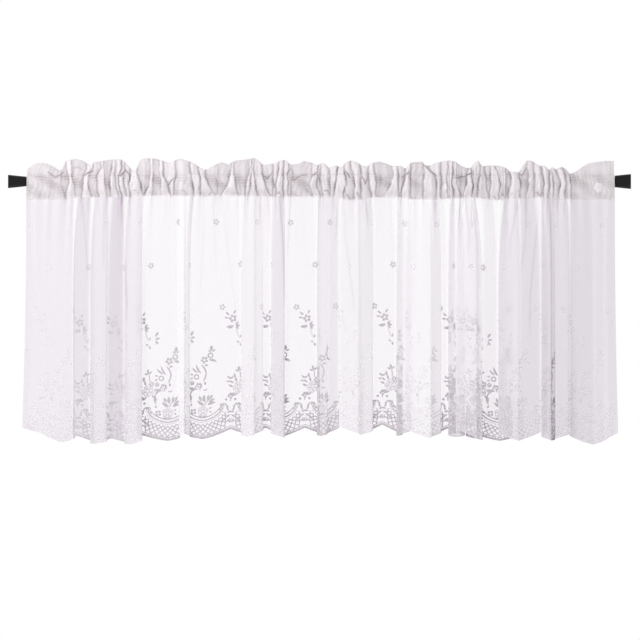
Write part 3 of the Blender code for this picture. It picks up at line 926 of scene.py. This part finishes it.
def voile_material(name, colour, pale_colour, shaded):
    """The sheer ground: open between its threads, denser where a fold turns away, with its painted
    light and painted shade.
    """
    made = bpy.data.materials.new(name)
    finish = Finish(made)
    place, weave = finish.woven(420.0, 420.0)
    slub = finish.noise(place, 60.0, 3.0, 0.6)
    dense = finish.times(finish.ranged(weave, 0.9, 1.08), finish.ranged(slub, 0.98, 1.02, 0.3, 0.7))
    closed = finish.times(finish.attribute("cover"), dense, use_clamp=True)
    # Painted light lightens the thread's colour where the pale value is high; painted shade darkens
    # it where the shade value is high.
    light = finish.blend(finish.attribute("pale"), opaque(colour), opaque(pale_colour))
    tint = finish.blend(finish.attribute("shade"), light, opaque(shaded))
    relief = finish.bump(weave, 0.15, 0.1 * MM)
    thread = finish.thread(tint, relief, rough=0.8, sheen=0.15, through=0.45)
    cloth = finish.mix(closed, finish.add("ShaderNodeBsdfTransparent"), thread)
    finish.node("ShaderNodeOutputMaterial", {"Surface": cloth})
    return made


def lace_material():
    """The border's satin-stitched thread: paler and more see-through where light is painted on a
    fold in front; washed threads are paler in their own colour.
    """
    made = bpy.data.materials.new("lace thread")
    finish = Finish(made)
    place, weave = finish.woven(900.0, 620.0)
    tone = finish.ranged(finish.noise(place, 220.0, 2.0), 0.0, 1.0, 0.3, 0.7)
    tint = finish.blend(tone, opaque(colours().lace, 0.9), opaque(colours().lace, 1.08))
    # The pale value brings the thread to the pale lace colour: painted light on folds in front, and
    # the own paler colour of washed threads.
    tint = finish.blend(finish.attribute("pale"), tint, opaque(colours().pale_lace))
    relief = finish.bump(weave, 0.35, 0.15 * MM)
    thread = finish.thread(tint, relief, rough=0.6, sheen=0.2, through=0.15)
    # The thread fades out where light is painted on a fold in front.
    lace = finish.mix(finish.attribute("clear"), thread, finish.add("ShaderNodeBsdfTransparent"))
    finish.node("ShaderNodeOutputMaterial", {"Surface": lace})
    return made


def hard_material(name, colour, worn, grain, rub, rough, strength, extra):
    """A smooth hard surface with a fine grain, and a tone and gloss rubbed in places."""
    made = bpy.data.materials.new(name)
    finish = Finish(made)
    place = finish.add("ShaderNodeTexCoord", output="Object")
    rubbed = finish.noise(place, *rub)
    relief = finish.bump(finish.noise(place, grain, 2.0), strength, 0.1 * MM)
    sockets = {
        "Base Color": finish.blend(rubbed, opaque(colour), opaque(colour, worn)),
        "Roughness": finish.ranged(rubbed, *rough),
        "Normal": relief,
        **extra,
    }
    face = finish.add("ShaderNodeBsdfPrincipled", sockets)
    finish.node("ShaderNodeOutputMaterial", {"Surface": face})
    return made


def enamel_material():
    """White baked enamel with a faint orange peel and rubbed places."""
    return hard_material(
        "white enamel", colours().paint, worn=0.94, grain=900.0, rub=(35.0, 4.0),
        rough=(0.3, 0.45), strength=0.12, extra={"Coat Weight": 0.2},
    )


def rubber_material():
    """Moulded black rubber, finely grained, a little greyer where it is rubbed."""
    return hard_material(
        "black moulded rubber", colours().rubber, worn=2.2, grain=1500.0, rub=(120.0, 3.0),
        rough=(0.32, 0.5), strength=0.25, extra={"Specular IOR Level": 0.14},
    )


def as_mesh(made, name):
    mesh = bpy.data.meshes.new(name)
    made.to_mesh(mesh)
    made.free()
    return mesh


def put_in_scene(name, data):
    obj = bpy.data.objects.new(name, data)
    bpy.context.scene.collection.objects.link(obj)
    return obj


def finish_piece(name, mesh, material):
    """Puts a hung mesh in the scene with its material, riding on the valance's body."""
    mesh.materials.append(material)
    mesh.shade_smooth()
    piece = put_in_scene(name, mesh)
    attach(piece, "root")
    return piece


def each_point(mesh, what):
    values = np.empty(len(mesh.vertices) * 3)
    mesh.vertices.foreach_get(what, values)
    return values.reshape(-1, 3)


def store(mesh, **values):
    """Keeps a value for each point of the mesh, under its own name."""
    for name, each in values.items():
        layer = mesh.attributes.new(name, "FLOAT", "POINT")
        layer.data.foreach_set("value", each.astype(np.float32))


def hang(mesh, flat, hung):
    """Moves the points to where they hang, and keeps the flat cloth's places as a UV map."""
    layer = mesh.uv_layers.new(name="flat")
    corners = np.empty(len(mesh.loops), dtype=np.int32)
    mesh.loops.foreach_get("vertex_index", corners)
    layer.data.foreach_set("uv", (flat[corners] / UV_SIDE).ravel())
    mesh.vertices.foreach_set("co", hung.ravel())
    mesh.update()


def right_side(s):
    """0 over the middle of the cloth, rising to 1 towards its right side."""
    start, run = (share * CLOTH.width for share in RIGHT_SIDE)
    return smooth((s - start) / run)


def add_cover(mesh, s, most_layers, base, shade, pale):
    """Each point's density: more of the light is stopped where the sheet turns away."""
    facing = np.clip(np.abs(each_point(mesh, "normal")[:, 1]), 1 / most_layers, 1.0)
    doubled = np.minimum(s, CLOTH.width - s) < sizes().side_hem
    base = np.where(doubled, 1 - (1 - base) ** HEM_LAYERS, base)
    base = np.clip(base + colours().shade_cover * shade + colours().pale_cover * pale, 0, 0.95)
    store(mesh, cover=1 - (1 - base) ** (1 / facing), shade=shade, pale=pale)


def sheet_mesh(name, cells, most_layers, place, tones):
    """A grid whose (across, up) shares are moved to their place in the cloth."""
    made = bmesh.new()
    bmesh.ops.create_grid(made, x_segments=cells[0], y_segments=cells[1], size=1)
    mesh = as_mesh(made, name)
    shares = (each_point(mesh, "co")[:, :2] + 1) / 2
    flat, hung = place(shares[:, 0], shares[:, 1])
    hang(mesh, flat, hung)
    add_cover(mesh, flat[:, 0], most_layers, *tones(flat, hung))
    return mesh


def strip(made, path, widths, rise):
    """A closed thread on the flat cloth. One that would pass the cloth's sides is left out."""
    path = np.asarray(path, dtype=float) * MM
    if path[:, 0].min() < LEAST_MARGIN or path[:, 0].max() > CLOTH.width - LEAST_MARGIN:
        return
    count = len(path) - 1
    run = np.gradient(path, axis=0)
    run /= np.maximum(np.linalg.norm(run, axis=1, keepdims=True), 1e-12)
    side = np.stack([-run[:, 1], run[:, 0]], axis=1)
    grid = bmesh.ops.create_grid(made, x_segments=count, y_segments=3, size=1)["verts"]
    for vert in grid:
        i = round((vert.co.x + 1) / 2 * count)
        across, lift = THREAD_SECTION[round((vert.co.y + 1) / 2 * 3)]
        reach = across * widths[i] * MM
        x, y = path[i] + side[i] * reach
        vert.co = (x, y, lift * rise * min(1.0, widths[i]))


def shares_of(count):
    return np.linspace(0, 1, count + 1)


def pointed(count, width, blunt=0.12):
    """Widths along a thread: even, with ends that close over a share of its length."""
    t = shares_of(count)
    return width * np.clip(np.minimum(t, 1 - t) / blunt, 0, 1) ** 0.6


def away(a, h, reach, turn):
    """The point at a reach from (a, h), turned by some degrees."""
    return a + reach * math.cos(math.radians(turn)), h + reach * math.sin(math.radians(turn))


class Drawing:
    """Draws the lace's parts on the flat cloth, from a repeat's own middle."""

    def __init__(self, made, middle, mirror=1, fuller=1.0):
        self.made = made
        self.middle = middle
        self.mirror = mirror
        self.fuller = fuller

    def thread(self, path, widths):
        path = np.asarray(path, dtype=float) * (self.mirror, 1) + (self.middle, 0)
        strip(self.made, path, widths * self.fuller, sizes().thread_rise)

    def leaf(self, a, h, length, width, turn, count=5):
        t = shares_of(count)[:, None]
        along, across = np.array(away(0, 0, 1, turn)), np.array(away(0, 0, 1, turn + 90))
        bend = 0.08 * length * np.sin(math.pi * t)
        path = (a, h) + along * t * length + across * bend
        self.thread(path, width * np.sin(math.pi * t[:, 0] ** 0.85) ** 0.8)

    def line(self, a, h, end_a, end_h, bow, width):
        length = math.hypot(end_a - a, end_h - h)
        count = max(3, round(length / 2.5))
        t = shares_of(count)[:, None]
        run = np.array((end_a - a, end_h - h))
        across = np.array((-run[1], run[0])) / length
        path = (a, h) + run * t + across * bow * 4 * t * (1 - t)
        self.thread(path, pointed(count, width))

    def curl(self, a, h, radius, start, sweep, grow, width):
        count = max(4, round(abs(math.radians(sweep)) * radius / 1.6))
        t = shares_of(count)
        angle = np.radians(start + sweep * t)
        reach = radius * grow**t
        path = np.stack([a + reach * np.cos(angle), h + reach * np.sin(angle)], axis=1)
        whole = abs(sweep) >= 360 and grow == 1.0
        self.thread(path, np.full(count + 1, width) if whole else pointed(count, width))

    def ring(self, a, h, radius, width):
        self.curl(a, h, radius - width / 2, 0, 360, 1.0, width)

    def flower(self, a, h, radius, petals, turn):
        for k in range(petals):
            angle = turn + 90 + 360 * k / petals
            start = away(a, h, 0.22 * radius, angle)
            self.leaf(*start, 0.82 * radius, 3.2 * radius / petals, angle, 4)

    def rose(self, a, h, radius, turn):
        """Petals round a curled heart."""
        self.curl(a, h, 0.5 * radius, turn, 420, 0.35, 1.5)
        for k in range(5):
            angle = turn + 72 * k
            petal = away(a, h, 0.62 * radius, angle)
            self.curl(*petal, 0.42 * radius, angle - 105, 210, 1.0, 1.4)
            vein = away(a, h, 0.3 * radius, angle)
            self.leaf(*vein, 0.6 * radius, 0.42 * radius, angle, 4)

    def draw(self, parts):
        for part in parts:
            getattr(self, type(part).__name__.lower())(*part)


def hang_lace(name, draw, wash=0.0, sheer=0.84):
    """Draws on the flat cloth, then hangs what is drawn in front of the sheet.

    Wash makes all of it paler in its own colour. Sheer is how see-through it is where light is
    painted on a fold in front.
    """
    made = bmesh.new()
    draw(made)
    bmesh.ops.remove_doubles(made, verts=made.verts, dist=2e-6)
    bmesh.ops.dissolve_degenerate(made, edges=made.edges, dist=1e-6)
    bmesh.ops.recalc_face_normals(made, faces=made.faces)
    mesh = as_mesh(made, name)
    s, h, rise = each_point(mesh, "co").T
    hang(mesh, np.stack([s, h], axis=1), CLOTH.hung(s, h, rise + sizes().lace_lift))
    mesh.set_sharp_from_angle(angle=math.radians(ROUNDED_BELOW))
    # The lace takes the cloth's painted light and its own wash; it is clearer where light is
    # painted.
    pale = CLOTH.pale(s)
    store(mesh, pale=1 - (1 - pale) * (1 - wash), clear=sheer * pale)
    return finish_piece(name, mesh, bpy.data.materials.get("lace thread") or lace_material())


def repeats():
    """The middle of each scallop, and of one more at each side, in mm along the cloth."""
    first = (SIDE_STRIP + HALF) / MM
    return [first + i * SCALLOP / MM for i in range(-1, len(SCALLOPS) + 1)]


def without_roses(parts):
    return [part for part in parts if not isinstance(part, Rose)]


def draw_border(parts, made):
    """Draws the parts in each repeat of the border."""
    for middle in repeats():
        Drawing(made, middle, fuller=THREAD_FULLNESS).draw(parts)


class VALANCE_OT_fall(bpy.types.Operator):
    """Hang the sheer cloth below the pocket"""

    bl_idname = "valance.fall"
    bl_label = "Hanging cloth"

    def execute(self, context):
        mesh = sheet_mesh("lace_fall", FALL_CELLS, FALL_MOST_LAYERS, self.place, self.tones)
        tints = colours().voile, colours().lit_voile, colours().shaded_voile
        piece = finish_piece("lace_fall", mesh, voile_material("sheer voile", *tints))
        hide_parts("valance")
        return {"FINISHED"}

    def place(self, across, up):
        s = across * CLOTH.width
        edge = edge_height(s)
        flat = np.stack([s, edge + (FLAT_TOP - edge) * up], axis=1)
        return flat, CLOTH.fall(s, 1 - up)

    def tones(self, flat, hung):
        """(cover, shade, pale): each panel's painted shade and light; the painted shade and light
        of the heading's creases run on into the fall and fade.
        """
        s, x, z = flat[:, 0], hung[:, 0], hung[:, 2]
        line, _, level = CLOTH.creases(x, z)
        near = np.exp((z - CREASE_END_Z) / CREASE_FADE)
        # Painted shade: each panel's, the heading's creases fading down into the fall, and the
        # wrinkles.
        shade = CLOTH.shade(s) + 0.4 * line * near + 0.35 * CLOTH.wrinkles(x, z)
        denser = (colours().side_cover - colours().cover) * right_side(s)
        # Cloth hidden in a fold loses a share of its cover and of its painted shade.
        seen = 1 - HIDDEN_LOSS * CLOTH.inside(s)
        # Painted light: each panel's, and the crease-side highlights fading down into the fall.
        pale = np.clip(CLOTH.pale(s) + 0.5 * level * near, 0, 1)
        return (colours().cover + denser) * seen, shade * seen, pale


class VALANCE_OT_heading(bpy.types.Operator):
    """Gather the pocket and the ruffle on the rod"""

    bl_idname = "valance.heading"
    bl_label = "Pocket and ruffle"

    def execute(self, context):
        cells = HEADING_CELLS, HEADING_MOST_LAYERS
        mesh = sheet_mesh("ruffled_heading", *cells, self.place, self.tones)
        tints = colours().gathered_voile, colours().lit_gathers, colours().shaded_gathers
        finish_piece("ruffled_heading", mesh, voile_material("gathered voile", *tints))
        return {"FINISHED"}

    def place(self, across, up):
        """Two turns in front, which has most of the rows, and two behind."""
        s = across * CLOTH.width
        behind = 2 + 2 * (up - FRONT_ROWS) / (1 - FRONT_ROWS)
        turn = np.where(up < FRONT_ROWS, 2 * up / FRONT_ROWS, behind)
        flat = np.stack([s, FLAT_TOP + turn * TURN_ON_MAP], axis=1)
        return flat, CLOTH.heading(s, turn)

    def tones(self, flat, hung):
        """(cover, shade, pale): painted shade in the creases, in the recesses and in streaks along
        the rod, and painted light where the cloth stands out.
        """
        x, z = hung[:, 0], hung[:, 2]
        line, _, level = CLOTH.creases(x, z)
        # Painted shade in the recesses is strongest where the cloth lies on the rod.
        shade_on_rod = 1 - 0.7 * smooth((z - 6 * MM) / (8 * MM)) - 0.3 * smooth((-z - 8 * MM) / (5 * MM))
        pucker = CLOTH.puckers(x, z)
        # Painted shade: in the recesses, streaked along the rod, and dark in the creases.
        shade = (0.13 + 0.65 * self.streaks(x, z)) * (1 - level) * shade_on_rod + 0.57 * line
        # Painted shade of the puckers, lighter on the cloth that stands out.
        shade += 0.08 * (1 + pucker) * (1 - 0.6 * level)
        # The painted shade weakens towards the right.
        shade *= 1.08 - 0.26 * flat[:, 0] / CLOTH.width
        # Painted light on the cloth that stands out and beside the creases, none in a crease.
        pale = np.clip(0.2 + 0.9 * level - 0.12 * pucker, 0, 1) * (1 - line)
        front = flat[:, 1] < FLAT_TOP + 2 * TURN_ON_MAP
        # Behind, a fainter painted shade in the creases and an even painted light.
        behind = 0.3 * line, 0.6 * np.ones_like(line)
        return colours().heading_cover, *np.where(front, (shade, pale), behind)

    def streaks(self, x, z):
        """Painted shade of broken streaks along the rod, where the cloth is drawn flat over it, 0
        to 1.
        """
        wavy = 2.5 * ripple(x, 17) + 0.8 * ripple(x, 5.3, z / (8 * MM))
        patch = np.clip(0.5 + 0.8 * ripple(x, 7.1, z / (4.7 * MM)), 0, 1)
        return (0.5 + 0.5 * ripple(z, 0.69, wavy)) * patch


class VALANCE_OT_scallops(bpy.types.Operator):
    """Work the scallops: edge band, net and arcs"""

    bl_idname = "valance.scallops"
    bl_label = "Scalloped edge and net"

    def execute(self, context):
        hang_lace("scallop_edge", self.draw_edge)
        hang_lace("scallop_net", self.draw_net)
        hang_lace("scallop_arcs", self.draw_arcs)
        return {"FINISHED"}

    def draw_edge(self, made):
        """A broad band and a fine line above it."""
        s = np.arange(SIDE_MARGIN, CLOTH.width / MM - SIDE_MARGIN, 2.0)
        for lift, width in ((EDGE_BAND / 2, EDGE_BAND), (EDGE_BAND + 2.2, 1.1)):
            path = np.stack([s, edge_height(s * MM) / MM + lift], axis=1)
            strip(made, path, pointed(len(path) - 1, width, 0.005), sizes().thread_rise)

    def draw_net(self, made):
        pitch = math.degrees(sizes().net_pitch / MM / NET_START_RADIUS)
        count = int(NET_SWEEP / pitch)
        for middle in repeats():
            pen = Drawing(made, middle)
            for k in range(-count, count + 1):
                for way in (-1, 1):
                    self.draw_strand(pen, k * pitch, way)

    def draw_strand(self, pen, start, way):
        """One strand of the net: out from the arcs until it meets the edge band."""
        path = []
        angle, radius = math.radians(start), NET_START_RADIUS
        while True:
            a = radius * math.sin(angle)
            h = ARC_CENTRE_H - radius * math.cos(angle)
            edge = scallop_rise(min(abs(a) * MM / HALF, 1.0))
            if h < edge + EDGE_BAND or abs(a) > NET_REACH or h > NET_TOP:
                break
            path.append((a, h))
            radius += NET_STEP
            angle += way * NET_STEP / radius
        if len(path) > 2:
            pen.thread(path, np.full(len(path), sizes().net_strand / MM))

    def draw_arcs(self, made):
        """The arcs, a curl at each end of the outer one, and a row of dots below."""
        for middle in repeats():
            pen = Drawing(made, middle)
            for arc in ARCS:
                sweep = 270 - arc.sweep, 2 * arc.sweep
                pen.curl(0, ARC_CENTRE_H, arc.radius, *sweep, 1.0, arc.width)
            for mirror in (-1, 1):
                Drawing(made, middle, mirror).draw([ARC_END])
            for k in range(-10, 11):
                turn = k * DOT_STEP
                dot = away(0, ARC_CENTRE_H, DOT_ARC_RADIUS, turn - 90)
                pen.leaf(*away(*dot, -DOT_LENGTH / 2, turn), DOT_LENGTH, DOT_WIDTH, turn, 3)


class VALANCE_OT_flowers(bpy.types.Operator):
    """Work the border's flowers, leaves and scrolls"""

    bl_idname = "valance.flowers"
    bl_label = "Floral border"

    def execute(self, context):
        roses = [part for part in CENTRE_SPRAY + BOUQUET if isinstance(part, Rose)]
        hang_lace("border_sprays", partial(draw_border, without_roses(CENTRE_SPRAY)))
        hang_lace("border_crowns", self.draw_crowns)
        hang_lace("border_bouquets", partial(draw_border, without_roses(BOUQUET)))
        hang_lace("border_roses", partial(draw_border, roses), wash=0.4)
        return {"FINISHED"}

    def draw_crowns(self, made):
        for middle in repeats():
            cusp = middle - HALF / MM
            Drawing(made, cusp, fuller=THREAD_FULLNESS).draw(CUSP_CROWN)
            for mirror in (-1, 1):
                Drawing(made, cusp, mirror, THREAD_FULLNESS).draw(CUSP_HALF)


class VALANCE_OT_sprigs(bpy.types.Operator):
    """Scatter the small flowers over the plain ground"""

    bl_idname = "valance.sprigs"
    bl_label = "Small flowers"

    def execute(self, context):
        hang_lace("scattered_sprigs", self.draw_sprigs, wash=0.2)
        hang_lace("pocket_flowers", self.draw_pocket, wash=1.0, sheer=0.0)
        return {"FINISHED"}

    def draw_sprigs(self, made):
        radius = sizes().sprig_radius / MM
        for row in SPRIG_ROWS:
            for i, middle in enumerate(repeats()):
                turn = SPRIG_TURN * math.sin(2.1 * i)
                Drawing(made, middle).flower(row.a, row.h, radius, 5, turn)

    def draw_pocket(self, made):
        for flower in POCKET_FLOWERS:
            s = np.interp(flower.x * MM, CLOTH.top_x, CLOTH.s) / MM
            pen = Drawing(made, s, fuller=1.5)
            pen.flower(0, flower.h, flower.radius, 5, 15)
            pen.ring(0, flower.h, 0.3 * flower.radius, 1.0)


class VALANCE_OT_seams(bpy.types.Operator):
    """Sew the two seams of the pocket and the side hems"""

    bl_idname = "valance.seams"
    bl_label = "Seams"

    def execute(self, context):
        hang_lace("seam_stitches", self.draw, wash=0.9)
        return {"FINISHED"}

    def draw(self, made):
        length, gap = sizes().stitch / MM, sizes().stitch_gap / MM
        width, seam_h, hem = CLOTH.width / MM, FLAT_TOP / MM, sizes().side_hem / MM
        for h in (seam_h - 1.0, seam_h + POCKET_RUN / MM):
            for s in np.arange(SIDE_MARGIN, width - SIDE_MARGIN - length, length + gap):
                self.sew(made, (s, h), (length / 2, 0))
        for s in (hem, width - hem):
            for h in np.arange(EDGE_RISE + 6, seam_h + 60, length + gap):
                self.sew(made, (s, h), (0, length / 2))

    def sew(self, made, start, half):
        """One stitch, from its start by two halves."""
        path = np.add(start, np.outer((0, 1, 2), half))
        strip(made, path, (0.3, 0.6, 0.3), sizes().thread_rise)


class VALANCE_OT_finishes(bpy.types.Operator):
    """Finish the tubes and the caps"""

    bl_idname = "valance.finishes"
    bl_label = "Rod and caps"

    def execute(self, context):
        self.give(enamel_material(), "rod_thin_tube", "rod_thick_tube")
        self.give(rubber_material(), "cap_left", "cap_right")
        return {"FINISHED"}

    def give(self, material, *nodes):
        for node in nodes:
            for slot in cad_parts[node].material_slots:
                slot.material = material


class VALANCE_OT_stage(bpy.types.Operator):
    """Set the floor, the light and the camera"""

    bl_idname = "valance.stage"
    bl_label = "Stage"

    def execute(self, context):
        self.add_floor()
        self.add_world()
        self.add_key()
        self.add_camera()
        context.scene.view_settings.view_transform = "Standard"
        return {"FINISHED"}

    def add_floor(self):
        made = bmesh.new()
        bmesh.ops.create_grid(made, x_segments=1, y_segments=1, size=FLOOR_SIDE / 2)
        bmesh.ops.translate(made, verts=made.verts, vec=(0, 0, FLOOR_Z))
        mesh = as_mesh(made, "floor")
        material = bpy.data.materials.new("pale floor")
        finish = Finish(material)
        sockets = {"Base Color": opaque((0.9,) * 3), "Roughness": 0.9}
        sockets.update({"Emission Color": WHITE, "Emission Strength": 0.12})
        face = finish.add("ShaderNodeBsdfPrincipled", sockets)
        finish.node("ShaderNodeOutputMaterial", {"Surface": face})
        mesh.materials.append(material)
        put_in_scene("floor", mesh)

    def add_world(self):
        """Even soft light, a little brighter from behind the cloth, on a white ground."""
        world = bpy.data.worlds.new("studio")
        finish = Finish(world)
        way = finish.add("ShaderNodeTexCoord", output="Generated")
        back = finish.add("ShaderNodeSeparateXYZ", {"Vector": way}, "Y")
        strength = finish.ranged(back, *SOFT_LIGHT, -1.0, 1.0)
        soft = finish.add("ShaderNodeBackground", {"Color": WHITE, "Strength": strength})
        ground = finish.add("ShaderNodeBackground", {"Color": WHITE, "Strength": 1.0})
        seen = finish.add("ShaderNodeLightPath", output="Is Camera Ray")
        finish.node("ShaderNodeOutputWorld", {"Surface": finish.mix(seen, soft, ground)})
        bpy.context.scene.world = world

    def add_key(self):
        light = bpy.data.lights.new("key", "AREA")
        light.size = KEY_SIZE
        light.energy = KEY_POWER
        key = put_in_scene("key", light)
        key.location = KEY_PLACE
        aim = put_in_scene("key_aim", None)
        aim.location = KEY_AIM
        track = key.constraints.new("TRACK_TO")
        track.target = aim
        track.track_axis = "TRACK_NEGATIVE_Z"
        track.up_axis = "UP_Y"

    def add_camera(self):
        data = bpy.data.cameras.new("camera")
        data.type = "ORTHO"
        data.ortho_scale = FRAME_WIDTH
        data.clip_end = 50.0
        camera = put_in_scene("camera", data)
        camera.location = (CAMERA_X, -CAMERA_AWAY, CAMERA_Z)
        camera.rotation_euler = (math.pi / 2, 0, 0)
        bpy.context.scene.camera = camera


class VALANCE_PT_panel(bpy.types.Panel):
    """Lists the valance's steps, sizes and colours"""

    bl_idname = "VALANCE_PT_panel"
    bl_label = "Lace valance"
    bl_space_type = "VIEW_3D"
    bl_region_type = "UI"
    bl_category = "Valance"

    def draw(self, context):
        for group in (context.scene.valance_sizes, context.scene.valance_colours):
            for name in group.__annotations__:
                self.layout.prop(group, name)
        for step in STEPS:
            self.layout.operator(step.bl_idname)


STEPS = (
    VALANCE_OT_stage,
    VALANCE_OT_fall,
    VALANCE_OT_heading,
    VALANCE_OT_scallops,
    VALANCE_OT_flowers,
    VALANCE_OT_sprigs,
    VALANCE_OT_seams,
    VALANCE_OT_finishes,
)
CLASSES = (ValanceSizes, ValanceColours, *STEPS, VALANCE_PT_panel)


def register():
    for cls in CLASSES:
        bpy.utils.register_class(cls)
    bpy.types.Scene.valance_sizes = PointerProperty(type=ValanceSizes)
    bpy.types.Scene.valance_colours = PointerProperty(type=ValanceColours)


def unregister():
    del bpy.types.Scene.valance_colours
    del bpy.types.Scene.valance_sizes
    for cls in reversed(CLASSES):
        bpy.utils.unregister_class(cls)


def main():
    register()
    for step in STEPS:
        group, name = step.bl_idname.split(".")
        getattr(getattr(bpy.ops, group), name)()


if __name__ == "__main__":
    main()
